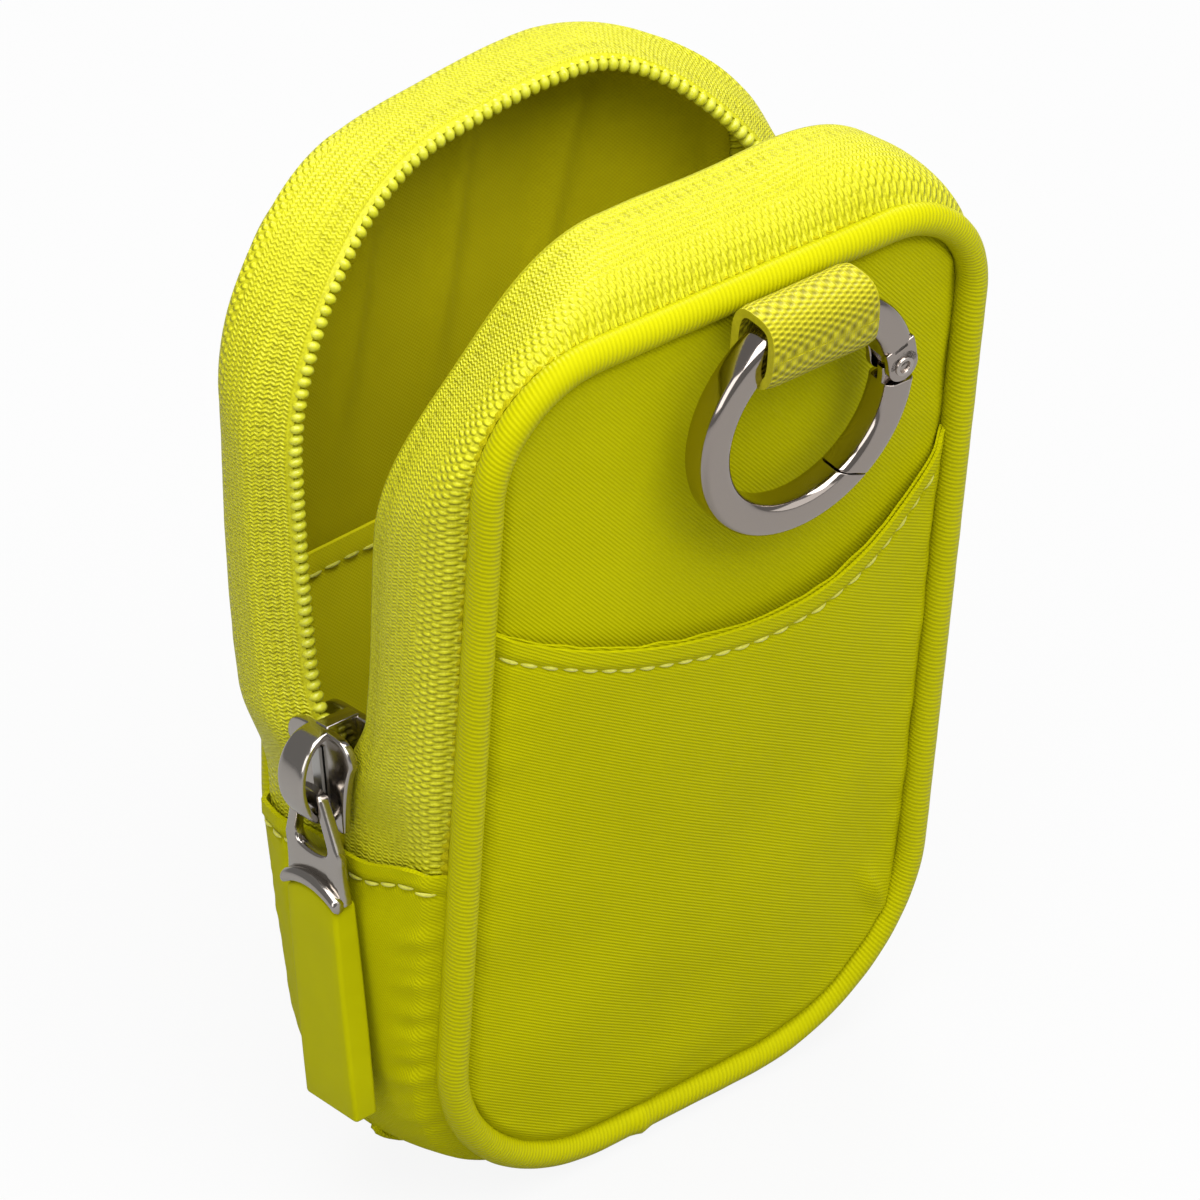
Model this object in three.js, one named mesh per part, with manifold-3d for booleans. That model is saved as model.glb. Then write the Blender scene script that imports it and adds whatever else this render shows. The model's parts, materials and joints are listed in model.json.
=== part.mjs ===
// Zipped key pouch, standing unzipped with its mouth open.
// Millimetres, +Z up, front facing -Y, origin at the middle of the flat underside.
// The two halves are drawn shut, as flat rounded slabs, and then lean apart about one fold line.

import * as THREE from 'three';
import { mergeVertices } from 'three/addons/utils/BufferGeometryUtils.js';
import Module from 'manifold-3d';

const wasm = await Module();
wasm.setup();

// Driving dimensions of the pouch
const WIDTH = 74;
const HEIGHT = 124;
const DEPTH = 36.5;
const TOP_RADIUS = 16;
const BOTTOM_RADIUS = 26;
const PIPING_DIAMETER = 3.8;
const PANEL_CROWN = 2.4;
const PANEL_SETBACK = 2;
const PANEL_CLOTH = 1;
const LINING_CLOTH = 0.5;
const GAP = 0.3;

// Lean of the two halves and the fold between them
const FRONT_LEAN = THREE.MathUtils.degToRad(5.3);
const BACK_LEAN = THREE.MathUtils.degToRad(9.7);
const FOLD_HEIGHT = 38;
const FOLD_HALF_WIDTH = 6;

// Zip and gusset
const ZIP_END_HEIGHT = 52;
const ZIP_END_GAP = 1;
const BAND_BULGE = 2.6;
const BAND_CLOTH = 1;
const TAPE_EDGE = 1.2;
const MOUTH_RADIUS = 28;
const TOOTH_PITCH = 1.5;
const TOOTH_HEIGHT = 1.6;
const TOOTH_REACH = 2.7;
const TOOTH_RISE = 0.45;
const CHAIN_GAP = 0.3;
const BINDING_WIDTH = 2.6;
const BINDING_THICKNESS = 1.3;

// Pockets
const SLIP_END_HEIGHT = 89;
const SLIP_SCOOP = 13;
const SLIP_ROOM = 1.2;
const SLIP_CLOTH = 0.7;
const FACING_HEIGHT = 4.5;
const CARD_TOP_HEIGHT = 77;
const CARD_ROOM = 0.8;

// Ring and its webbing loop
const RING_OUTER = 31;
const RING_BAR = 4.2;
const RING_BEVEL = 0.7;
const RING_OFFSET = 4.8;
const LOOP_DROP = 0;
const WEBBING_WIDTH = 15;
const WEBBING_THICKNESS = 1.2;
const PIVOT_ANGLE = THREE.MathUtils.degToRad(8);
const NOSE_ANGLE = THREE.MathUtils.degToRad(-55);
const NOSE_TAPER = THREE.MathUtils.degToRad(10);
const PIN_DIAMETER = 1.8;
const PIN_CLEARANCE = 0.2;
const CHEEK = 0.9;
const SPRING_ROOM = 1;
const SPRING_WIRE = 0.28;
const SPRING_TURNS = 2;

// Slider and pull
const SLIDER_RISE = 7.4;
const SLIDER_LEAN = THREE.MathUtils.degToRad(6);
const SLIDER_PLATE = 1.2;
const SLIDER_CLEARANCE = 0.35;
const SLIDER_NOSE = 6;
const SLIDER_TAIL = 7;
const SLIDER_HALF_WIDTH = 6;
const SLIDER_WAIST_HALF_WIDTH = 4.2;
const SLIDER_TAIL_HALF_WIDTH = 3.3;
const SLIDER_NOSE_HALF_WIDTH = 2.1;
const SLIDER_SHOULDER = 2.9;
const POST_HALF_WIDTH = 0.9;
const POST_LENGTH = 3.6;
const METAL_BEVEL = 0.3;
const CROWN_WIDTH = 3;
const CROWN_RISE = 4.6;
const CROWN_REACH = 5.8;
const CROWN_METAL = 1.1;
const PAWL_METAL = 0.4;
const PAWL_WIDTH = 1.6;
const LINK_METAL = 1.6;
const LINK_WIDTH = 10;
const LINK_LENGTH = 13.5;
const LINK_LIMB = 1.8;
const LINK_SHOULDER = 1.3;
const LINK_HOLLOW = 2.2;
const EYE_LENGTH = 6.5;
const EYE_SWELL = 1.3;
const ROD_DROP = 2.4;
const TAB_WIDTH = 9.5;
const TAB_LENGTH = 29;
const TAB_THICKNESS = 3.5;
const TAB_BEVEL = 0.8;

// Mesh fineness
const CORNER_STEPS = 7;
const SIDE_STEPS = 3;
const PIPING_SIDES = 8;
const SHEET_COLUMNS = 14;
const SHEET_ROWS = 8;
const FACING_ROWS = 2;
const RING_STEPS = 30;
const PIN_STEPS = 16;
const NOSE_STEPS = 96;
const SPRING_STEPS = 10;
const SPRING_SIDES = 5;

// Sizes that follow from the ones above
const HALF_WIDTH = WIDTH / 2;
const HALF_DEPTH = DEPTH / 2;
const PIPING_RADIUS = PIPING_DIAMETER / 2;
const SLIDER_REST_HEIGHT = ZIP_END_HEIGHT + SLIDER_RISE;
const PANEL_INSET = PIPING_DIAMETER + GAP;
const PANEL_FACE = HALF_DEPTH - PANEL_SETBACK;
const LINING_FACE = PANEL_FACE - PANEL_CLOTH - GAP;
const BAND_EDGE = HALF_DEPTH - PIPING_DIAMETER - GAP;
const LIFT = Math.max(
  FOLD_HEIGHT * (Math.cos(BACK_LEAN) - 1) + HALF_DEPTH * Math.sin(BACK_LEAN),
  FOLD_HEIGHT * (Math.cos(FRONT_LEAN) - 1) + HALF_DEPTH * Math.sin(FRONT_LEAN),
);

// Materials, one for each finish
const finish = (color, roughness, metalness) =>
  new THREE.MeshStandardMaterial({ color, roughness, metalness });
const nylon = finish(0xb9bd06, 0.55, 0);
const lining = finish(0xa9a51c, 0.7, 0);
const tape = finish(0xd3d51f, 0.75, 0);
const coil = finish(0xd9d94a, 0.35, 0);
const webbing = finish(0xcfd02a, 0.5, 0);
const nickel = finish(0xc9c5bf, 0.2, 1);
const steel = finish(0x9a9894, 0.35, 1);
const silicone = finish(0xc2c60a, 0.45, 0);

// Solid modelling helpers
function orientOut(geometry) {
  const place = geometry.attributes.position;
  const index = geometry.index.array;
  const corners = [new THREE.Vector3(), new THREE.Vector3(), new THREE.Vector3()];
  let volume = 0;
  for (let i = 0; i < index.length; i += 3) {
    corners.forEach((corner, k) => corner.fromBufferAttribute(place, index[i + k]));
    volume += corners[0].dot(corners[1].clone().cross(corners[2])) / 6;
  }
  if (volume < 0) {
    for (let i = 0; i < index.length; i += 3) {
      [index[i + 1], index[i + 2]] = [index[i + 2], index[i + 1]];
    }
  }
  geometry.computeVertexNormals();
  return geometry;
}

// Skin over a row of like rings of points. A contour closes both ends; without one the row joins up.
function skin(rings, contour = null) {
  const count = rings[0].length;
  const spans = contour ? rings.length - 1 : rings.length;
  const index = [];
  for (let i = 0; i < spans; i += 1) {
    const near = i * count;
    const far = ((i + 1) % rings.length) * count;
    for (let j = 0; j < count; j += 1) {
      const next = (j + 1) % count;
      index.push(near + j, near + next, far + next, near + j, far + next, far + j);
    }
  }
  if (contour) {
    const turn = Math.sign(THREE.ShapeUtils.area(contour));
    const last = (rings.length - 1) * count;
    for (const face of THREE.ShapeUtils.triangulateShape(contour, [])) {
      const same = Math.sign(THREE.ShapeUtils.area(face.map((k) => contour[k]))) === turn;
      const [a, b, c] = same ? face : [face[0], face[2], face[1]];
      index.push(a, c, b, last + a, last + b, last + c);
    }
  }
  const geometry = new THREE.BufferGeometry();
  const place = rings.flat().flatMap((point) => [point.x, point.y, point.z]);
  geometry.setAttribute('position', new THREE.Float32BufferAttribute(place, 3));
  geometry.setIndex(index);
  return orientOut(geometry);
}

function toSolid(geometry) {
  const bare = geometry.clone();
  bare.deleteAttribute('normal');
  bare.deleteAttribute('uv');
  const merged = mergeVertices(bare, 1e-4);
  return new wasm.Manifold(new wasm.Mesh({
    numProp: 3,
    vertProperties: Float32Array.from(merged.attributes.position.array),
    triVerts: Uint32Array.from(merged.index.array),
  }));
}

function fromSolid(solid) {
  const mesh = solid.getMesh();
  const geometry = new THREE.BufferGeometry();
  geometry.setAttribute('position', new THREE.BufferAttribute(mesh.vertProperties, 3));
  geometry.setIndex(new THREE.BufferAttribute(mesh.triVerts, 1));
  geometry.computeVertexNormals();
  return geometry;
}

function piece(group, name, geometry, material) {
  const mesh = new THREE.Mesh(geometry, material);
  mesh.name = name;
  group.add(mesh);
  return mesh;
}

// Plate cut to a shape in one plane and centred through its thickness.
// The shape's x and y become the pouch's Y and Z on a side plate, or X and Z on a front plate.
function plate(shape, thickness, bevel = 0, steps = 12) {
  const geometry = new THREE.ExtrudeGeometry(shape, {
    depth: thickness - 2 * bevel,
    bevelEnabled: bevel > 0,
    bevelThickness: bevel,
    bevelSize: bevel,
    bevelOffset: -bevel,
    bevelSegments: 1,
    curveSegments: steps,
  });
  return geometry.translate(0, 0, -thickness / 2 + bevel);
}
const sidePlate = (...given) => plate(...given).rotateX(Math.PI / 2).rotateZ(Math.PI / 2);
const frontPlate = (...given) => plate(...given).rotateX(Math.PI / 2);

// Outline of one half: a slab with rounded corners, its foot at height 0
function cornerArc(side, radius, height, from, to, step) {
  const turns = Math.max(CORNER_STEPS, Math.ceil((radius * Math.abs(to - from)) / step));
  const points = [];
  for (let i = 0; i <= turns; i += 1) {
    const angle = from + ((to - from) * i) / turns;
    const out = new THREE.Vector2(Math.cos(angle), Math.sin(angle));
    const x = side * (HALF_WIDTH - radius) + radius * out.x;
    points.push({ x, z: height + radius * out.y, out });
  }
  return points;
}

function straight(first, last, step) {
  const length = Math.hypot(last.x - first.x, last.z - first.z);
  const parts = Math.max(SIDE_STEPS, Math.ceil(length / step));
  const points = [];
  for (let i = 1; i < parts; i += 1) {
    const x = THREE.MathUtils.lerp(first.x, last.x, i / parts);
    const z = THREE.MathUtils.lerp(first.z, last.z, i / parts);
    points.push({ x, z, out: first.out });
  }
  return points;
}

function joinPath(first, arcs, last, step) {
  const [left, right] = arcs;
  return [
    first, ...straight(first, left[0], step), ...left,
    ...straight(left.at(-1), right[0], step), ...right,
    ...straight(right.at(-1), last, step), last,
  ];
}

const sidePoint = (side, z) => ({ x: side * HALF_WIDTH, z, out: new THREE.Vector2(side, 0) });

// Over the top, from the zip's left end to its right end
function upperPath(foot, step = Infinity, radius = TOP_RADIUS) {
  const height = HEIGHT - radius;
  const arcs = [
    cornerArc(-1, radius, height, Math.PI, Math.PI / 2, step),
    cornerArc(1, radius, height, Math.PI / 2, 0, step),
  ];
  return joinPath(sidePoint(-1, foot), arcs, sidePoint(1, foot), step);
}

// Under the bottom, from the zip's left end to its right end
function lowerPath(top, step = Infinity) {
  const arcs = [
    cornerArc(-1, BOTTOM_RADIUS, BOTTOM_RADIUS, Math.PI, 1.5 * Math.PI, step),
    cornerArc(1, BOTTOM_RADIUS, BOTTOM_RADIUS, 1.5 * Math.PI, 2 * Math.PI, step),
  ];
  return joinPath(sidePoint(-1, top), arcs, sidePoint(1, top), step);
}

function fullPath(radius = TOP_RADIUS) {
  const lower = lowerPath(ZIP_END_HEIGHT).reverse().slice(1, -1);
  return [...upperPath(ZIP_END_HEIGHT, Infinity, radius), ...lower];
}

// Section swept along a path: each section point is how far out it stands and its depth
const along = (path, section) => path.map(({ x, z, out }) => section.map(
  ([stand, y]) => new THREE.Vector3(x + stand * out.x, y, z + stand * out.y),
));
const flat = (section) => section.map(([a, b]) => new THREE.Vector2(a, b));

const bulge = (y) => BAND_BULGE * (1 - (y / HALF_DEPTH) ** 2);

// Thin band section between two depths, sunk below the bulging outer surface
function bandSection(from, to, sink, cloth, parts = 3) {
  const depths = Array.from({ length: parts + 1 }, (_, i) => THREE.MathUtils.lerp(from, to, i / parts));
  return [
    ...depths.map((y) => [bulge(y) - sink, y]),
    ...depths.reverse().map((y) => [bulge(y) - sink - cloth, y]),
  ];
}

// The band's top corners grow rounder from the piping to the mouth
function bandRadius(y) {
  const share = Math.min(Math.abs(y) / BAND_EDGE, 1);
  return THREE.MathUtils.lerp(MOUTH_RADIUS, TOP_RADIUS, share ** 2);
}

// Band section swept so that each of its points takes the corner of its own depth
function bandRings(pathOf, section) {
  const lines = section.map((point) => along(pathOf(bandRadius(point[1])), [point]));
  return lines[0].map((_, i) => lines.map((line) => line[i][0]));
}

// Foot and head of the outline over one point of the width, drawn in by an inset
function cornerRise(x, inset, radius) {
  const beyond = Math.abs(x) - (HALF_WIDTH - radius);
  const inner = radius - inset;
  return beyond > 0 ? inner - Math.sqrt(Math.max(inner * inner - beyond * beyond, 0)) : 0;
}
const footOf = (x, inset) => inset + cornerRise(x, inset, BOTTOM_RADIUS);
const headOf = (x, inset) => HEIGHT - inset - cornerRise(x, inset, TOP_RADIUS);

function crown(x, z) {
  const across = 1 - (x / HALF_WIDTH) ** 2;
  const up = 1 - ((z - HEIGHT / 2) / (HEIGHT / 2)) ** 2;
  return PANEL_CROWN * Math.max(across, 0) * Math.max(up, 0);
}

// Crowned sheet between a foot line and a head line. Side is -1 at the front and 1 at the back.
function sheet(side, inset, face, cloth, foot, head, rows = SHEET_ROWS) {
  const half = HALF_WIDTH - inset;
  const rings = [];
  for (let i = 0; i <= SHEET_COLUMNS; i += 1) {
    const x = -half * Math.cos((Math.PI * i) / SHEET_COLUMNS);
    const outer = [];
    for (let j = 0; j <= rows; j += 1) {
      const z = THREE.MathUtils.lerp(foot(x), head(x), j / rows);
      outer.push(new THREE.Vector3(x, side * (face + crown(x, z)), z));
    }
    const inner = outer.map((p) => new THREE.Vector3(p.x, p.y - side * cloth, p.z)).reverse();
    rings.push([...outer, ...inner]);
  }
  return skin(rings, rings[0].map((p) => new THREE.Vector2(p.y, p.z)));
}

// Groups: the whole stands on its gusset, and each half leans about the fold line
const pouch = new THREE.Group();
pouch.position.z = LIFT;

function leaningGroup(lean) {
  const group = new THREE.Group();
  group.position.z = FOLD_HEIGHT;
  group.rotation.x = lean;
  const content = new THREE.Group();
  content.position.z = -FOLD_HEIGHT;
  group.add(content);
  pouch.add(group);
  return content;
}
const backHalf = leaningGroup(-BACK_LEAN);
const frontHalf = leaningGroup(FRONT_LEAN);

// Panels and linings
const panelFoot = (x) => footOf(x, PANEL_INSET);
const panelHead = (x) => headOf(x, PANEL_INSET);
for (const [group, half, side] of [[backHalf, 'back', 1], [frontHalf, 'front', -1]]) {
  const panel = sheet(side, PANEL_INSET, PANEL_FACE, PANEL_CLOTH, panelFoot, panelHead);
  const inside = sheet(side, PANEL_INSET, LINING_FACE, LINING_CLOTH, panelFoot, panelHead);
  piece(group, `${half}_panel`, panel, nylon);
  piece(group, `${half}_lining`, inside, lining);

  // Piping round the panel's edge
  const depth = side * (HALF_DEPTH - PIPING_RADIUS);
  const round = Array.from({ length: PIPING_SIDES }, (_, i) => {
    const angle = ((i + 0.5) / PIPING_SIDES) * 2 * Math.PI;
    return [PIPING_RADIUS * (Math.cos(angle) - 1), depth + PIPING_RADIUS * Math.sin(angle)];
  });
  piece(group, `${half}_piping`, skin(along(fullPath(), round)), nylon);

  // Zip tape from the piping to the chain, over the sides and top
  const zipFoot = ZIP_END_HEIGHT + ZIP_END_GAP / 2;
  const zipPath = (radius) => upperPath(zipFoot, Infinity, radius);
  const tapeSection = bandSection(side * BAND_EDGE, side * TAPE_EDGE, 0, BAND_CLOTH);
  piece(group, `${half}_zip_tape`, skin(bandRings(zipPath, tapeSection), flat(tapeSection)), tape);

  // Row of teeth behind the tape's edge: every second ring stands out as a tooth
  const toothSection = (reach) => [
    [-BAND_CLOTH - GAP + BAND_BULGE - TOOTH_RISE, side * (CHAIN_GAP + TOOTH_REACH)],
    [-BAND_CLOTH - GAP + BAND_BULGE - TOOTH_RISE, side * (CHAIN_GAP + TOOTH_REACH - reach)],
    [-BAND_CLOTH - GAP + BAND_BULGE - TOOTH_HEIGHT, side * (CHAIN_GAP + TOOTH_REACH - reach / 2)],
  ];
  const toothPath = upperPath(zipFoot, TOOTH_PITCH / 2, MOUTH_RADIUS);
  const reaches = [TOOTH_REACH, TOOTH_REACH - TOOTH_PITCH / 2];
  const toothRings = toothPath.map((point, i) => along([point], toothSection(reaches[i % 2]))[0]);
  piece(group, `${half}_zip_teeth`, skin(toothRings, flat(toothSection(TOOTH_REACH))), coil);

  // Binding tape over the inner seam, in the corner between the band and the panel
  const bindingTop = bulge(BAND_EDGE) - BAND_CLOTH - 2 * GAP;
  const near = side * (BAND_EDGE - GAP);
  const far = side * (BAND_EDGE - GAP - BINDING_WIDTH);
  const bindingSection = [
    [bindingTop, near], [bindingTop, far],
    [bindingTop - BINDING_THICKNESS, far], [bindingTop - BINDING_THICKNESS, near],
  ];
  piece(group, `${half}_seam_binding`, skin(bandRings(fullPath, bindingSection)), lining);
}

// Card pocket on the back lining
const cardFace = LINING_FACE - LINING_CLOTH - CARD_ROOM;
const cardPocket = sheet(1, PANEL_INSET, cardFace, LINING_CLOTH, panelFoot, () => CARD_TOP_HEIGHT);
piece(backHalf, 'card_pocket', cardPocket, lining);

// Slip pocket on the front panel, with a scooped mouth and the folded facing behind it
const slipMouth = (x) => SLIP_END_HEIGHT - SLIP_SCOOP * (1 - (x / (HALF_WIDTH - PANEL_INSET)) ** 2);
const slipFace = PANEL_FACE + SLIP_ROOM + SLIP_CLOTH;
const slipPocket = sheet(-1, PANEL_INSET, slipFace, SLIP_CLOTH, panelFoot, slipMouth);
piece(frontHalf, 'slip_pocket', slipPocket, nylon);
const facingFace = slipFace - SLIP_CLOTH - GAP;
const facingFoot = (x) => slipMouth(x) - FACING_HEIGHT;
const slipFacing = sheet(-1, PANEL_INSET, facingFace, LINING_CLOTH, facingFoot, slipMouth, FACING_ROWS);
piece(frontHalf, 'slip_pocket_facing', slipFacing, nylon);

// Lower gusset and its lining: bands that turn with the nearer half and lie flat on the ground
function gusset(sink, cloth, edge) {
  const path = lowerPath(ZIP_END_HEIGHT - ZIP_END_GAP / 2);
  const section = bandSection(-edge, edge, sink, cloth, 8);
  const rings = along(path, section);
  for (const point of rings.flat()) {
    const lean = THREE.MathUtils.mapLinear(
      THREE.MathUtils.clamp(point.y, -FOLD_HALF_WIDTH, FOLD_HALF_WIDTH),
      -FOLD_HALF_WIDTH, FOLD_HALF_WIDTH, FRONT_LEAN, -BACK_LEAN,
    );
    point.z -= FOLD_HEIGHT;
    point.applyAxisAngle(new THREE.Vector3(1, 0, 0), lean);
    point.z = Math.max(point.z + FOLD_HEIGHT, sink - LIFT);
  }
  const half = section.length / 2;
  for (const ring of rings) {
    for (let i = 0; i < half; i += 1) {
      const inner = ring[section.length - 1 - i];
      inner.z = Math.max(inner.z, Math.min(ring[i].z + cloth, cloth + sink - LIFT));
    }
  }
  return skin(rings, flat(section));
}
piece(pouch, 'lower_gusset', gusset(0, BAND_CLOTH, BAND_EDGE), nylon);
const gussetLiningEdge = BAND_EDGE - 2 * GAP - BINDING_WIDTH;
piece(pouch, 'gusset_lining', gusset(BAND_CLOTH + GAP, LINING_CLOTH, gussetLiningEdge), lining);

// Webbing loop lying against the top piping, a flattened tube round the ring's bar
const ringMean = (RING_OUTER - RING_BAR) / 2;
const ringInner = RING_OUTER / 2 - RING_BAR;
const loopHalf = WEBBING_WIDTH / 2;
const loopTop = HEIGHT - LOOP_DROP;
const ringHeight = loopTop - WEBBING_THICKNESS - GAP - RING_OUTER / 2;
const loopBack = HALF_DEPTH + GAP;
const ringDepth = loopBack + WEBBING_THICKNESS + GAP + RING_BAR / 2;
const loopDeep = RING_BAR + 2 * (GAP + WEBBING_THICKNESS);
const barFoot = Math.sqrt(ringInner ** 2 - loopHalf ** 2);
const loopTall = RING_OUTER / 2 - barFoot + 2 * (GAP + WEBBING_THICKNESS);

function roundedBox(shape, wide, tall, radius) {
  const [x, y] = [wide / 2, tall / 2];
  shape.moveTo(-x + radius, -y);
  shape.lineTo(x - radius, -y);
  shape.absarc(x - radius, -y + radius, radius, -Math.PI / 2, 0);
  shape.absarc(x - radius, y - radius, radius, 0, Math.PI / 2);
  shape.absarc(-x + radius, y - radius, radius, Math.PI / 2, Math.PI);
  shape.absarc(-x + radius, -y + radius, radius, Math.PI, 1.5 * Math.PI);
  return shape;
}
const loopBend = WEBBING_THICKNESS + RING_BEVEL;
const loopShape = roundedBox(new THREE.Shape(), loopDeep, loopTall, loopBend);
const loopHole = roundedBox(
  new THREE.Path(), loopDeep - 2 * WEBBING_THICKNESS, loopTall - 2 * WEBBING_THICKNESS, RING_BEVEL,
);
loopShape.holes.push(loopHole);
const loopMesh = piece(frontHalf, 'webbing_loop', sidePlate(loopShape, WEBBING_WIDTH, 0, 3), webbing);
loopMesh.position.set(RING_OFFSET, -(loopBack + loopDeep / 2), loopTop - loopTall / 2);

// Ring with a hinged gate, drawn round its own centre
const ringGroup = new THREE.Group();
ringGroup.position.set(RING_OFFSET, -ringDepth, ringHeight);
frontHalf.add(ringGroup);
const pivot = new THREE.Vector2(Math.cos(PIVOT_ANGLE), Math.sin(PIVOT_ANGLE)).multiplyScalar(ringMean);

function ringSector(from, to) {
  const shape = new THREE.Shape();
  const steps = Math.ceil((RING_STEPS * Math.abs(to - from)) / (2 * Math.PI));
  shape.absarc(0, 0, RING_OUTER / 2, from, to, false);
  shape.absarc(0, 0, ringInner, to, from, true);
  return frontPlate(shape, RING_BAR, RING_BEVEL, steps);
}
function disc(radius, length, steps = PIN_STEPS) {
  return new THREE.CylinderGeometry(radius, radius, length, steps);
}
const atPivot = (geometry, y = 0) => toSolid(geometry.translate(pivot.x, y, pivot.y));

// The fork: a slot between two round cheeks takes the gate's tongue and the spring.
// The nose ends on an arc round the pivot, so that the gate swings past it.
const cheekReach = RING_BAR / 2;
const slotWide = RING_BAR - 2 * CHEEK;
const tongueWide = slotWide - SPRING_ROOM - PIN_CLEARANCE;
const tongueDepth = -slotWide / 2 + PIN_CLEARANCE + tongueWide / 2;
const noseReach = 2 * ringMean * Math.sin((PIVOT_ANGLE - NOSE_ANGLE) / 2);
const noseSwing = (radius) => atPivot(disc(radius, 2 * RING_BAR, NOSE_STEPS));
const bodyNose = toSolid(ringSector(NOSE_ANGLE - 2 * NOSE_TAPER, NOSE_ANGLE + NOSE_TAPER))
  .subtract(noseSwing(noseReach + GAP / 2));
const ringBody = toSolid(ringSector(PIVOT_ANGLE, NOSE_ANGLE + 2 * Math.PI - NOSE_TAPER))
  .add(bodyNose)
  .add(atPivot(disc(cheekReach, RING_BAR)))
  .subtract(atPivot(disc(cheekReach + GAP, slotWide)))
  .subtract(atPivot(disc(PIN_DIAMETER / 2 + PIN_CLEARANCE / 2, 2 * RING_BAR)));
piece(ringGroup, 'ring_body', fromSolid(ringBody), nickel);
piece(ringGroup, 'gate_pin', fromSolid(atPivot(disc(PIN_DIAMETER / 2, RING_BAR))), steel);

// The gate: a sector of the ring with a thin tongue round the pin
const gateRoot = PIVOT_ANGLE - (cheekReach + GAP) / ringMean;
const tongueStart = gateRoot - cheekReach / ringMean;
const tongueSlab = new THREE.BoxGeometry(2 * RING_OUTER, tongueWide, 2 * RING_OUTER)
  .translate(0, tongueDepth, 0);
const tongue = toSolid(ringSector(tongueStart, PIVOT_ANGLE)).intersect(toSolid(tongueSlab));
const ringGate = toSolid(ringSector(NOSE_ANGLE - NOSE_TAPER, gateRoot))
  .intersect(noseSwing(noseReach - GAP / 2))
  .add(tongue)
  .add(atPivot(disc(cheekReach - RING_BEVEL, tongueWide), tongueDepth))
  .subtract(atPivot(disc(PIN_DIAMETER / 2 + PIN_CLEARANCE, 2 * RING_BAR)));
piece(ringGroup, 'ring_gate', fromSolid(ringGate), nickel);

// The gate's spring: a wire wound round the pin beside the tongue
const springRadius = PIN_DIAMETER / 2 + PIN_CLEARANCE / 2 + SPRING_WIRE / 2;
const springRise = (SPRING_ROOM - PIN_CLEARANCE - SPRING_WIRE) / SPRING_TURNS;
const springFoot = slotWide / 2 - SPRING_ROOM + PIN_CLEARANCE / 2 + SPRING_WIRE / 2;
const springSteps = SPRING_TURNS * SPRING_STEPS;
const springRings = Array.from({ length: springSteps + 1 }, (_, i) => {
  const turn = (i / springSteps) * SPRING_TURNS;
  const spoke = new THREE.Vector3(Math.cos(turn * 2 * Math.PI), 0, Math.sin(turn * 2 * Math.PI));
  const centre = new THREE.Vector3(pivot.x, springFoot + springRise * turn, pivot.y)
    .addScaledVector(spoke, springRadius);
  return Array.from({ length: SPRING_SIDES }, (__, k) => {
    const angle = (k / SPRING_SIDES) * 2 * Math.PI;
    const point = centre.clone().addScaledVector(spoke, (SPRING_WIRE / 2) * Math.cos(angle));
    point.y += (SPRING_WIRE / 2) * Math.sin(angle);
    return point;
  });
});
const springContour = Array.from({ length: SPRING_SIDES }, (_, k) => new THREE.Vector2(
  Math.cos((k / SPRING_SIDES) * 2 * Math.PI), Math.sin((k / SPRING_SIDES) * 2 * Math.PI),
));
piece(ringGroup, 'gate_spring', skin(springRings, springContour), steel);

// Slider, midway between the two rows of teeth near the zip's left end
const openGap = (SLIDER_REST_HEIGHT - FOLD_HEIGHT) * Math.tan(FRONT_LEAN + BACK_LEAN);
const sliderPlace = new THREE.Vector3(-HALF_WIDTH, -openGap / 2, SLIDER_REST_HEIGHT - FOLD_HEIGHT)
  .applyAxisAngle(new THREE.Vector3(1, 0, 0), -BACK_LEAN);
const sliderGroup = new THREE.Group();
sliderGroup.position.set(sliderPlace.x, sliderPlace.y, sliderPlace.z + FOLD_HEIGHT);
sliderGroup.rotation.x = -SLIDER_LEAN;
pouch.add(sliderGroup);
const topFace = BAND_BULGE + SLIDER_CLEARANCE;
const undersideFace = BAND_CLOTH + GAP + TOOTH_HEIGHT - BAND_BULGE + SLIDER_CLEARANCE;

// Shield outline: blunt nose, broad shoulders, waisted tail
const shield = new THREE.Shape();
shield.moveTo(-SLIDER_TAIL_HALF_WIDTH, -SLIDER_TAIL);
shield.lineTo(SLIDER_TAIL_HALF_WIDTH, -SLIDER_TAIL);
shield.quadraticCurveTo(SLIDER_WAIST_HALF_WIDTH, 0, SLIDER_HALF_WIDTH, SLIDER_SHOULDER);
shield.quadraticCurveTo(SLIDER_HALF_WIDTH, SLIDER_NOSE, SLIDER_NOSE_HALF_WIDTH, SLIDER_NOSE);
shield.lineTo(-SLIDER_NOSE_HALF_WIDTH, SLIDER_NOSE);
shield.quadraticCurveTo(-SLIDER_HALF_WIDTH, SLIDER_NOSE, -SLIDER_HALF_WIDTH, SLIDER_SHOULDER);
shield.quadraticCurveTo(-SLIDER_WAIST_HALF_WIDTH, 0, -SLIDER_TAIL_HALF_WIDTH, -SLIDER_TAIL);
const outerPlate = sidePlate(shield, SLIDER_PLATE, METAL_BEVEL, 4).translate(-topFace - SLIDER_PLATE / 2, 0, 0);
const innerPlate = sidePlate(shield, SLIDER_PLATE, METAL_BEVEL, 4).translate(undersideFace + SLIDER_PLATE / 2, 0, 0);
const postWide = topFace + undersideFace + SLIDER_PLATE;
const post = new THREE.BoxGeometry(postWide, 2 * POST_HALF_WIDTH, POST_LENGTH)
  .translate((undersideFace - topFace) / 2, 0, SLIDER_NOSE - POST_LENGTH / 2 - GAP);
const sliderBody = toSolid(outerPlate).add(toSolid(innerPlate)).add(toSolid(post));
piece(sliderGroup, 'slider_body', fromSolid(sliderBody), nickel);

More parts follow.
